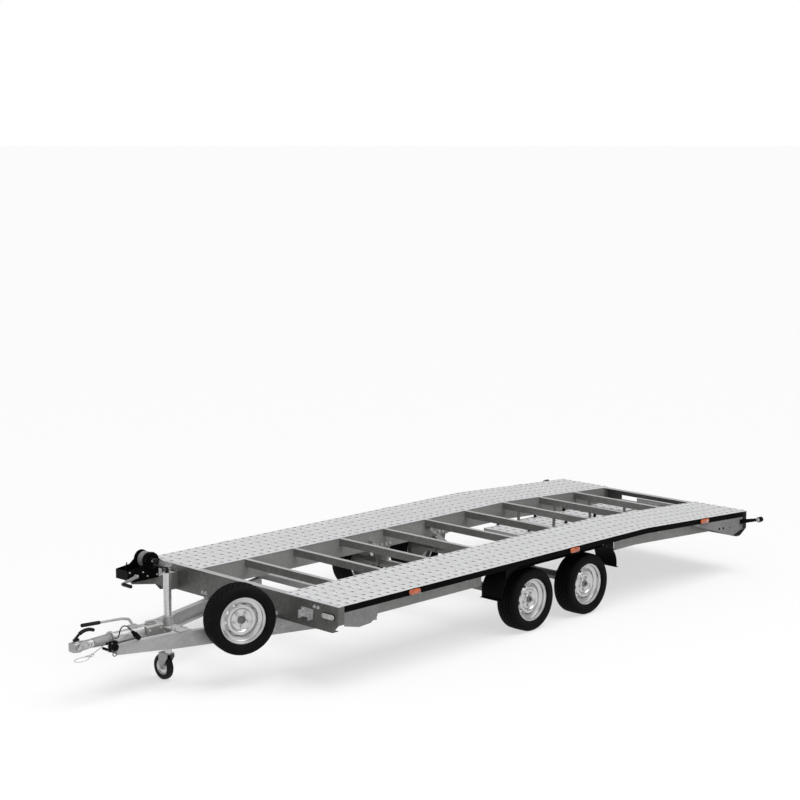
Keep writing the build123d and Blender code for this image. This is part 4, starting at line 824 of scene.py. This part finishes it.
def makeJockeyWheel():
    turned = frameOf((at(jockey["x"]), jockey["y"], jockey["z"]), (1, 0, 0))
    half, r = jockey["width"] / 2, jockey["radius"]
    bm = bmesh.new()
    side = [(half - 0.0075, 0.0618), (half - 0.001, 0.066), (half, 0.072), (half, 0.080),
            (half - 0.002, 0.088), (half - 0.007, 0.0955), (half - 0.013, r), (0.006, r), (0.004, r - 0.003)]
    profile = side + [(-a, b) for a, b in reversed(side)]
    lathe(bm, profile + profile[:1], turned, jockey["steps"])
    finishPiece("jockeyTyre", bm, "jockey_wheel", "jockeyRubber", ["jockey_tyre"], smooth=35)
    bm = bmesh.new()
    rim = [(half - 0.007, 0.0615), (half - 0.0055, 0.058), (half - 0.009, 0.054), (0.008, 0.048),
           (0.006, 0.040), (0.006, 0.026), (0.010, 0.0225), (half, 0.020), (half, 0.0086)]
    lathe(bm, rim + [(-a, b) for a, b in reversed(rim)] + rim[:1], turned, jockey["steps"])
    finishPiece("jockeyRim", bm, "jockey_wheel", "rimPaint", ["jockey_rim"], smooth=35)
    bm = bmesh.new()
    for side in (1, -1):
        start = Vector((at(jockey["x"]) + side * 0.0365, jockey["y"], jockey["z"]))
        boltInto(bm, start, (side, 0, 0), 0.019, 0.0055)
    finishPiece("jockeyAxleNuts", bm, "jockey_fork", "bolt", smooth=30)


makeJockeyWheel()


# Grips, bellows and knobs
def makeBellows():
    bellows = {"rear": 1.2193, "front": 1.372, "folds": 9, "crest": 0.041, "root": 0.029, "tube": 0.0256}
    pitch = (bellows["front"] - bellows["rear"]) / bellows["folds"]
    profile = [(0, bellows["tube"]), (0, 0.039), (0.004, 0.0405)]
    for i in range(bellows["folds"]):
        base = pitch * i
        shrink = 1 - 0.018 * i
        for share, radius in ((0.22, bellows["root"]), (0.36, bellows["root"] + 0.001),
                              (0.62, bellows["crest"] * shrink - 0.0008), (0.72, bellows["crest"] * shrink),
                              (0.82, bellows["crest"] * shrink - 0.0008)):
            profile.append((base + share * pitch, radius))
    profile += [(pitch * bellows["folds"] - 0.0008, 0.0335), (pitch * bellows["folds"], bellows["tube"])]
    bm = bmesh.new()
    lathe(bm, profile + profile[:1], frameOf((at(bellows["rear"]), 0, 0.432), (1, 0, 0)), 64)
    finishPiece("greyBellows", bm, "chassis", "bellows", ["bellows"], smooth=30)


def ribbedGrip(name, start, end, radius, node=None, ribs=14, body="chassis"):
    start, end = Vector(start), Vector(end)
    length = (end - start).length
    profile = [(0, 0), (0, radius * 0.62), (0.003, radius * 0.86), (0.008, radius)]
    pitch = (length - 0.022) / ribs
    for i in range(ribs):
        base = 0.010 + pitch * i
        profile += [(base, radius), (base + pitch * 0.2, radius * 0.93), (base + pitch * 0.45, radius * 0.93),
                    (base + pitch * 0.65, radius)]
    profile += [(length - 0.010, radius), (length - 0.004, radius * 0.88), (length, radius * 0.6), (length, 0)]
    bm = bmesh.new()
    lathe(bm, profile, frameOf(start, end - start), 40)
    finishPiece(name, bm, body, "grip", [node] if node else (), smooth=35)


makeBellows()
gripRun = Vector((at(1.302), 0, 0.570))
gripWay = Vector((0.19, 0, 0.010)).normalized()
ribbedGrip("handbrakeGrip", gripRun, gripRun + gripWay * 0.165, 0.014, "handbrake_grip", ribs=12)
winchTip = (0.450 + 0.145 * math.cos(math.radians(-14)), 0.632 + 0.145 * math.sin(math.radians(-14)))
ribbedGrip("winchCrankGrip", (at(winchTip[0]), -0.684, winchTip[1]), (at(winchTip[0]), -0.573, winchTip[1]),
           0.0145, ribs=9)
print("grips and bellows made")


# Lamps
def ovalBody(bm, place, normal, along, length, height, depth, inset, steps=28):
    # stadium shaped block on a face, its front edge rounded by shrinking rings
    matrix = frameOf(place, normal, along)
    rings = []
    for share, shrink in ((0, 0), (0.45, 0), (0.72, 0.18), (0.9, 0.5), (1.0, 1.0)):
        made = bmesh.ops.create_circle(bm, cap_ends=False, segments=steps, radius=1)["verts"]
        radius = height / 2 - inset * shrink
        straight = length / 2 - height / 2
        for vert in made:
            shift = math.copysign(straight, vert.co.x) if abs(vert.co.x) > 0.001 else 0
            vert.co = matrix @ Vector((vert.co.x * radius + shift, vert.co.y * radius, depth * share))
        rings.append(made)
    for first, second in zip(rings, rings[1:]):
        both = set(first) | set(second)
        edges = [e for e in bm.edges if e.verts[0] in both and e.verts[1] in both
                 and (e.verts[0] in first) == (e.verts[1] in first)]
        bmesh.ops.bridge_loops(bm, edges=edges)
    bmesh.ops.contextual_create(bm, geom=rings[0])
    bmesh.ops.contextual_create(bm, geom=rings[-1])


markerLamp = {"stations": (0.790, 2.710, 4.580), "length": 0.132, "height": 0.052, "front": (1.012, 0.553)}


def makeMarkers():
    base, lens, white = bmesh.new(), bmesh.new(), bmesh.new()
    for station in markerLamp["stations"]:
        for side in (1, -1):
            spot = Vector((at(-station), side * deck["half"], deckTop(station) - deck["rail"] / 2))
            ovalBody(base, spot, (0, side, 0), (1, 0, 0), markerLamp["length"], markerLamp["height"], 0.007, 0.002)
            ovalBody(lens, spot + Vector((0, side * 0.0055, 0)), (0, side, 0), (1, 0, 0),
                     markerLamp["length"] - 0.010, markerLamp["height"] - 0.010, 0.0125, 0.006)
    for side in (1, -1):
        spot = Vector((at(0), side * markerLamp["front"][0], markerLamp["front"][1]))
        ovalBody(base, spot, (1, 0, 0), (0, 1, 0), 0.144, 0.050, 0.006, 0.002)
        ovalBody(white, spot + Vector((0.005, 0, 0)), (1, 0, 0), (0, 1, 0), 0.132, 0.040, 0.009, 0.005)
    finishPiece("markerLampBases", base, "chassis", "blackPlastic", ["marker_lamps"])
    finishPiece("sideMarkerLenses", lens, "chassis", "amber")
    finishPiece("frontMarkerLenses", white, "chassis", "clear")


tailLamp = {"y": 0.922, "z": 0.416, "lensWidth": 0.236, "lensHeight": 0.094, "x": -3.402}


def roundedBlock(bm, centre, size, bevel):
    verts = block(bm, centre, size)
    edges = list({e for v in verts for e in v.link_edges})
    bmesh.ops.bevel(bm, geom=edges, offset=bevel, affect="EDGES", segments=3, profile=0.5, material=-1)


def makeTailLamps():
    housing, red, amber, clear = (bmesh.new() for _ in range(4))
    lamp = tailLamp
    for side in (1, -1):
        y = side * lamp["y"]
        block(housing, (lamp["x"] + 0.023, y, lamp["z"]), (0.046, 0.290, 0.136))
        for height in (1, -1):
            block(housing, (lamp["x"] - 0.0025, y, lamp["z"] + height * 0.055), (0.009, 0.272, 0.010))
        for end in (1, -1):
            block(housing, (lamp["x"] - 0.0025, y + end * 0.128, lamp["z"]), (0.009, 0.014, 0.118))
        # the amber end is outboard, with a clear window in the middle
        for target, offset, width in ((amber, 0.080, 0.072), (clear, 0.014, 0.054), (red, -0.066, 0.100)):
            roundedBlock(target, (lamp["x"] - 0.0045, y + side * offset, lamp["z"]),
                         (0.0138, width, lamp["lensHeight"]), 0.005)
            for row in range(5):
                level = lamp["z"] - 0.036 + row * 0.018
                roundedBlock(target, (lamp["x"] - 0.0112, y + side * offset, level), (0.0012, width - 0.014, 0.0035),
                             0.0005)
    finishPiece("tailLampHousings", housing, "chassis", "blackPlastic", ["tail_lamps"],
                smooth=30, bevel=0.0015)
    finishPiece("tailLampRed", red, "chassis", "red")
    finishPiece("tailLampAmber", amber, "chassis", "amber")
    finishPiece("tailLampClear", clear, "chassis", "clear")


stalkLamp = {"root": (5.190, 0.468), "head": (5.229, 1.287, 0.506)}


def makeStalkLamps():
    rubber, red, white = bmesh.new(), bmesh.new(), bmesh.new()
    for side in (1, -1):
        root = Vector((at(-stalkLamp["root"][0]), side * deck["half"], stalkLamp["root"][1]))
        head = Vector((at(-stalkLamp["head"][0]), side * stalkLamp["head"][1], stalkLamp["head"][2]))
        roundedBlock(rubber, root + Vector((0, side * 0.006, 0)), (0.060, 0.012, 0.044), 0.004)
        way = (head - root).normalized()
        reach = (head - root).length
        profile = [(0.006, 0), (0.006, 0.022), (0.020, 0.0215), (0.036, 0.0185), (0.060, 0.0175), (0.064, 0.0188),
                   (0.068, 0.0170), (0.100, 0.0162), (0.104, 0.0175), (0.108, 0.0155), (reach - 0.026, 0.0145),
                   (reach - 0.016, 0.017), (reach - 0.012, 0.017), (reach - 0.012, 0)]
        lathe(rubber, profile, frameOf(root, way), 28)
        body = [(-0.030, 0), (-0.030, 0.0215), (-0.026, 0.0242), (-0.012, 0.0248), (0, 0.0235), (0.012, 0.0248),
                (0.026, 0.0242), (0.030, 0.0215), (0.030, 0)]
        lathe(rubber, body, frameOf(head, (1, 0, 0)), 40)
        dome = [(0.029, 0), (0.029, 0.0205), (0.0315, 0.0200), (0.0345, 0.0165), (0.0362, 0.010), (0.0369, 0)]
        lathe(white, [(a, b) for a, b in dome], frameOf(head, (1, 0, 0)), 40)
        lathe(red, [(a, b) for a, b in dome], frameOf(head, (-1, 0, 0)), 40)
    finishPiece("stalkLampRubber", rubber, "chassis", "blackPlastic", ["position_lamps"])
    finishPiece("stalkLampWhite", white, "chassis", "clear")
    finishPiece("stalkLampRed", red, "chassis", "red")


makeMarkers()
makeTailLamps()
makeStalkLamps()
print("lamps made")


# Winch strap, gears and hook
winch = {"y": -0.790, "drumReach": 0.285, "drumZ": 0.726, "shaft": (0.450, 0.632), "strap": 0.050}


def makeStrap():
    # webbing wound on the drum in layers, its free end led to the hook
    centre = Vector((at(winch["drumReach"]), winch["y"], winch["drumZ"]))
    turned = frameOf(centre, (0, 1, 0))
    bm = bmesh.new()
    half = winch["strap"] / 2
    layers = [(-half, 0.052)]
    for i in range(6):
        edge = half - 0.0006 * (i % 2)
        layers += [(-edge, 0.0545 + 0.0016 * i), (-edge, 0.0558 + 0.0016 * i)]
    layers += [(-half + 0.002, 0.0645), (half - 0.002, 0.0645)]
    for i in reversed(range(6)):
        edge = half - 0.0006 * (i % 2)
        layers += [(edge, 0.0558 + 0.0016 * i), (edge, 0.0545 + 0.0016 * i)]
    layers += [(half, 0.052)]
    lathe(bm, layers + layers[:1], turned, 72)
    finishPiece("winchStrapTurns", bm, "chassis", "webbing", smooth=25)
    bm = bmesh.new()
    line = [(0.2845, 0.7900), (0.255, 0.7825), (0.228, 0.7650), (0.190, 0.7320), (0.150, 0.7010), (0.112, 0.6740)]
    verts = [bm.verts.new((at(a), winch["y"] - half, b)) for a, b in line]
    edges = [bm.edges.new(pair) for pair in zip(verts, verts[1:])]
    made = bmesh.ops.extrude_edge_only(bm, edges=edges)["geom"]
    bmesh.ops.translate(bm, verts=[g for g in made if isinstance(g, bmesh.types.BMVert)], vec=(0, 2 * half, 0))
    piece = finishPiece("winchStrapEnd", bm, "chassis", "webbing", smooth=60)
    thicken(piece, 0.0026)
    # hook with its swivel ring at the front beam
    bm = bmesh.new()
    bmesh.ops.create_cone(bm, cap_ends=True, segments=24, radius1=0.009, radius2=0.009, depth=0.062,
                          matrix=frameOf((at(0.110), winch["y"], 0.672), (0, 1, 0)))
    ringPlace = frameOf((at(0.098), winch["y"], 0.658), (0, 1, 0))
    for i in range(2):
        place = ringPlace @ Matrix.Translation((0, 0, -0.02 + 0.04 * i))
        profile = [(0.005 * math.cos(t), 0.017 + 0.005 * math.sin(t)) for t in
                   (2 * math.pi * k / 10 for k in range(11))]
        lathe(bm, profile, place, 32)
    block(bm, (at(0.066), winch["y"], 0.652), (0.052, 0.046, 0.010), 0)
    block(bm, (at(0.040), winch["y"], 0.642), (0.012, 0.030, 0.026), 0)
    finishPiece("winchHook", bm, "chassis", "zincCast", smooth=35)


def toothedDisc(bm, centre, axis, radius, teeth, thickness, bore):
    matrix = frameOf(centre, axis)
    ring = bmesh.ops.create_circle(bm, cap_ends=False, segments=teeth * 4, radius=radius)["verts"]
    for index, vert in enumerate(ring):
        if index % 4 in (0, 1):
            vert.co *= 1 - 0.09
    inner = bmesh.ops.create_circle(bm, cap_ends=False, segments=teeth * 4, radius=bore)["verts"]
    both = set(ring) | set(inner)
    edges = [e for e in bm.edges if e.verts[0] in both and e.verts[1] in both]
    faces = bmesh.ops.bridge_loops(bm, edges=edges)["faces"]
    made = bmesh.ops.extrude_face_region(bm, geom=faces)["geom"]
    top = [g for g in made if isinstance(g, bmesh.types.BMVert)]
    bmesh.ops.translate(bm, verts=top, vec=(0, 0, thickness))
    bmesh.ops.transform(bm, matrix=matrix, verts=list(both) + top)


def makeWinchGears():
    bm = bmesh.new()
    y = winch["y"] + 0.062
    toothedDisc(bm, (at(winch["drumReach"]), y - 0.004, winch["drumZ"]), (0, 1, 0), 0.066, 36, 0.005, 0.014)
    toothedDisc(bm, (at(winch["shaft"][0]), y - 0.006, winch["shaft"][1]), (0, 1, 0), 0.030, 12, 0.008, 0.009)
    finishPiece("winchGears", bm, "chassis", "blackPaint", smooth=30)
    # pressed cover disc over the gears on the near side
    bm = bmesh.new()
    cover = frameOf((at(winch["drumReach"]), winch["y"] + 0.0775, winch["drumZ"]), (0, 1, 0))
    lathe(bm, [(-0.010, 0.0655), (0.004, 0.0672), (0.0065, 0.0655), (0.0065, 0.058), (0.003, 0.054), (0.003, 0.034),
               (0.009, 0.030), (0.009, 0.012), (0.0095, 0.0), (0.0015, 0.0), (0.0015, 0.0625), (-0.010, 0.0635),
               (-0.010, 0.0655)], cover, 56)
    finishPiece("winchCoverDisc", bm, "chassis", "blackPaint", smooth=35)
    bm = bmesh.new()
    for side, face in ((1, winch["y"] + 0.075), (-1, winch["y"] - 0.075)):
        boltInto(bm, (at(winch["drumReach"]), face, winch["drumZ"]), (0, side, 0), 0.019)
        for reach, z in ((0.372, 0.650), (0.500, 0.612), (0.500, 0.666), (0.236, 0.610), (0.330, 0.612)):
            boltInto(bm, (at(reach), face, z), (0, side, 0), 0.010, washer=1.5)
    boltInto(bm, (at(winch["shaft"][0]), winch["y"] + 0.1015, winch["shaft"][1]), (0, 1, 0), 0.017)
    for reach in (0.265, 0.330, 0.400, 0.436):
        for offset in (-0.045, 0.045):
            boltInto(bm, (at(reach), winch["y"] + offset * 0.6, 0.587), (0, 0, 1), 0.014)
    finishPiece("winchBolts", bm, "chassis", "bolt", smooth=30)


makeStrap()
makeWinchGears()
print("winch dressed")


# Small black parts, the socket at the drawbar's tip and the coupling's ear plates
socketHolder = {"x": 1.236, "y": 0.062, "z": 0.392}
earPlate = {"x": 1.487, "y": 0.0465, "z": 0.442, "bolt": 0.016}


def makeSocketHolder():
    holder, bm = socketHolder, bmesh.new()
    x, y, z = at(holder["x"]), holder["y"], holder["z"]
    roundedBlock(bm, (x, y, z), (0.062, 0.030, 0.074), 0.004)
    lathe(bm, [(0, 0), (0, 0.024), (0.010, 0.026), (0.034, 0.026), (0.040, 0.021), (0.040, 0)],
          frameOf((x + 0.006, y + 0.012, z + 0.004), (0.2, 1, 0)), 28)
    for offset in (-0.024, 0.020):
        roundedBlock(bm, (x + 0.034, y - 0.052, z + offset), (0.014, 0.060, 0.018), 0.003)
    finishPiece("socketHolder", bm, "chassis", "blackPlastic", smooth=35)
    bm = bmesh.new()
    # hanging eye of the safety chain
    eye = frameOf((x - 0.014, y - 0.004, z - 0.062), (0, 1, 0))
    lathe(bm, [(0.004 * math.cos(t), 0.016 + 0.004 * math.sin(t)) for t in (2 * math.pi * k / 10 for k in range(11))],
          eye, 28)
    roundedBlock(bm, (x - 0.014, y - 0.004, z - 0.045), (0.026, 0.006, 0.026), 0.002)
    for offset in (-0.022, 0.024):
        boltInto(bm, (x + 0.020, y + 0.015, z + offset), (0, 1, 0), 0.010)
    finishPiece("socketHolderBolts", bm, "chassis", "castIron", smooth=35)


guardStay = {
    "y": 1.088, "thickness": 0.004, "under": 0.5895, "top": 0.5690, "sweep": 50, "steps": 10,
    "ends": ((1.830, 0.195, -1), (3.318, 0.180, 1)),
}
rampClip = {"stations": (3.385, 3.910, 4.335), "rows": (-0.322, 0.052), "size": (0.034, 0.012, 0.040)}
gussetPlug = {"stations": (4.830, 4.895), "radius": 0.0125, "below": 0.125}


def makeGuardStays():
    # black plates that close the wedges between the mudguards' round ends and the rails
    stay, bm = guardStay, bmesh.new()
    for end, radius, way in stay["ends"]:
        for side in (1, -1):
            line = []
            for i in range(stay["steps"] + 1):
                angle = math.radians(stay["sweep"] * i / stay["steps"])
                station = end - way * radius * (1 - math.sin(angle))
                line.append(bm.verts.new((at(-station), stay["y"] * side,
                                          stay["top"] - radius * (1 - math.cos(angle)) + 0.0005)))
            edges = [bm.edges.new(pair) for pair in zip(line, line[1:])]
            made = bmesh.ops.extrude_edge_only(bm, edges=edges)["geom"]
            for vert in (g for g in made if isinstance(g, bmesh.types.BMVert)):
                vert.co.z = stay["under"]
            faces = [g for g in made if isinstance(g, bmesh.types.BMFace)]
            made = bmesh.ops.extrude_face_region(bm, geom=faces)["geom"]
            bmesh.ops.translate(bm, verts=[g for g in made if isinstance(g, bmesh.types.BMVert)],
                                vec=(0, stay["thickness"] * side, 0))
    bmesh.ops.recalc_face_normals(bm, faces=bm.faces)
    finishPiece("guardStays", bm, "chassis", "blackPlastic", smooth=30)


def makeRampClips():
    clip, bm = rampClip, bmesh.new()
    for station in clip["stations"]:
        for y in clip["rows"]:
            base = Vector((at(-station), y, rampTop(station) + 0.018))
            roundedBlock(bm, base, clip["size"], 0.003)
            rod(bm, base + Vector((0.010, 0, 0.016)), base + Vector((0.010, 0.030, 0.022)), 0.006, 12)
    for station in gussetPlug["stations"]:
        for side in (1, -1):
            place = (at(-station), side * (deck["half"] - 0.0005), deckTop(station) - gussetPlug["below"])
            lathe(bm, [(0, 0.002), (0, gussetPlug["radius"]), (0.0016, gussetPlug["radius"] - 0.001), (0.002, 0.002)],
                  frameOf(place, (0, side, 0)), 20)
    finishPiece("clipsAndPlugs", bm, "chassis", "blackPlastic", smooth=35)


def makeEarPlates():
    ear, bm = earPlate, bmesh.new()
    for side in (1, -1):
        # triangular plate, its corners rounded by rods through it
        corners = [(-0.060, -0.022), (0.050, -0.018), (-0.004, 0.044)]
        verts = [bm.verts.new((at(ear["x"]) + a, ear["y"] * side, ear["z"] + b)) for a, b in corners]
        face = bm.faces.new(verts)
        made = bmesh.ops.extrude_face_region(bm, geom=[face])["geom"]
        bmesh.ops.translate(bm, verts=[g for g in made if isinstance(g, bmesh.types.BMVert)], vec=(0, 0.006 * side, 0))
        bmesh.ops.recalc_face_normals(bm, faces=bm.faces)
        for a, b in corners:
            spot = Vector((at(ear["x"]) + a * 0.86, ear["y"] * side, ear["z"] + b * 0.8))
            rod(bm, spot, spot + Vector((0, 0.0085 * side, 0)), 0.0085, 18)
        boltInto(bm, (at(ear["x"]), (ear["y"] + 0.006) * side, ear["z"] + 0.004), (0, side, 0), ear["bolt"])
    # a thin black plate in the coupling's nose stands for the shade inside its socket mouth: painted shade
    mouth = bmesh.new()
    roundedBlock(mouth, (at(1.549), 0, 0.436), (0.004, 0.030, 0.030), 0.0015)
    finishPiece("couplingMouthPaintedShade", mouth, "chassis", "blackPlastic", smooth=30)
    finishPiece("couplingEarPlates", bm, "chassis", "brightZinc", smooth=30)


makeGuardStays()
makeRampClips()
makeSocketHolder()
makeEarPlates()
print("holders made")


# Small fasteners on the chassis: reach, y, z, normal, width across flats, 1 where mirrored
def barFace(reach, z, out=0.0):
    y = 0.057 + 0.31 * (1.200 - reach)
    return reach, y + out, z, (0.2961, 0.9552, 0)


boltTable = []
for reach, z in ((0.02, 0.345), (0.02, 0.385), (-0.05, 0.365)):
    boltTable.append((*barFace(reach, z), 0.015, 1))
for reach, y in ((0.650, 0.115), (0.730, 0.100), (0.650, 0.160), (0.730, 0.150)):
    boltTable.append((reach, y, 0.428, (0, 0, 1), 0.016, 1))
for y in (0.40, 0.44, 0.86, 0.90):
    boltTable.append((0.0, y, 0.470 if y < 0.5 else 0.600, (1, 0, 0), 0.016, 1))
for y in (0.740, 0.830):
    boltTable.append((0.008, y, 0.565, (1, 0, 0), 0.015, 0))
    boltTable.append((0.008, y, 0.518, (1, 0, 0), 0.015, 0))
for row in range(2):
    for column in range(4):
        boltTable.append((-0.0042, 0.020 + 0.026 * column, 0.560 + 0.030 * row, (-1, 0, 0), 0.013, 0))
for behind in (2.242, 2.968):
    for offset in (-0.075, -0.025, 0.025, 0.075):
        boltTable.append((-behind + 0.150 + offset, 0.548, 0.464, (0, 0, -1), 0.017, 1))
        boltTable.append((-behind + 0.150 + offset, 0.514, 0.498, (0, -1, 0), 0.016, 1))
for reach in (-0.756, -0.784):
    for y in (0.610, 0.670):
        boltTable.append((reach, y, 0.4195, (0, 0, -1), 0.015, 1))
for y in (1.060, 0.784):
    for z in (0.361, 0.471):
        boltTable.append((-5.2690, y + (0.020 if y > 1 else -0.020), z, (-1, 0, 0), 0.009, 1))
for y in (0.160, 0.036):
    boltTable.append((-5.2700, y, 0.439, (-1, 0, 0), 0.009, 0))
for reach in (0.800, 0.905):
    boltTable.append((reach, 0.0593, 0.440, (0, 1, 0), 0.010, 1))
for reach in (0.985, 1.040):
    boltTable.append((reach, 0.015, 0.486, (0, 1, 0), 0.012, 1))
for reach in (1.395, 1.420):
    boltTable.append((reach, 0.033, 0.432, (0, 1, 0), 0.017, 1))
for station in (0.340, 0.980, 1.500, 3.500, 4.050, 4.800):
    boltTable.append((-station, 1.0002, deckTop(station) - 0.085, (0, 1, 0), 0.012, 1))


def makeBolts():
    bm = bmesh.new()
    for reach, y, z, normal, across, mirrored in boltTable:
        boltInto(bm, (at(reach), y, z), normal, across)
        if mirrored:
            boltInto(bm, (at(reach), -y, z), (normal[0], -normal[1], normal[2]), across)
    finishPiece("chassisBolts", bm, "chassis", "bolt", smooth=30)


makeBolts()
print("bolts placed:", len(boltTable))


# Finishes of the CAD nodes that stay in view
nodeFinish = {
    "beamZinc": ["cross_members", "ramp_guides", "axle_front", "axle_rear", "winch_bracket"],
    "frontZinc": ["front_beam"],
    "sideZinc": ["long_beams_left", "long_beams_right", "brake_cover"],
    "rearSteel": ["rear_beam"],
    "rail": ["side_rail_left", "side_rail_right"],
    "barZinc": ["drawbar_left", "drawbar_right", "drawbar_crossbeam", "jockey_fork", "spare_carrier",
                "winch_crank", "jockey_clamp"],
    "tubeZinc": ["jockey_outer_tube", "jockey_inner_tube"],
    "blackPlastic": ["mudguard_left", "mudguard_right", "plug"],
    "blackPaint": ["winch_frame", "winch_drum"],
    "zincCast": ["coupling_head", "overrun_housing", "handbrake_lever"],
    "castIron": ["drum_front_left", "drum_front_right", "drum_rear_left", "drum_rear_right"],
    "grip": ["coupling_handle", "jockey_crank"],
    "plate": ["number_plate"],
    "shock": ["shock_absorbers"],
}
# these finishes have their sky-facing faces painted lighter with the bright zinc, a painted highlight
paintedTopLightFinishes = ("beamZinc", "frontZinc", "sideZinc", "rearSteel", "barZinc")


def dressNodes():
    for finish, names in nodeFinish.items():
        for name in names:
            mesh = nodes[name].data
            mesh.materials.clear()
            mesh.materials.append(finishes[finish])
            if finish not in paintedTopLightFinishes:
                continue
            # faces turned to the sky get the bright zinc as a painted highlight on their tops; the front beam's
            # bracket keeps the bright zinc too
            mesh.materials.append(finishes["brightZinc"])
            for face in mesh.polygons:
                bracket = name == "front_beam" and face.center.x > at(0.004)
                face.material_index = 1 if bracket or face.normal.z > 0.8 else 0


dressNodes()
shown = [n for n, o in nodes.items() if not o.hide_render]
dressed = {n for names in nodeFinish.values() for n in names}
print("nodes dressed; still plain:", sorted(set(shown) - dressed))
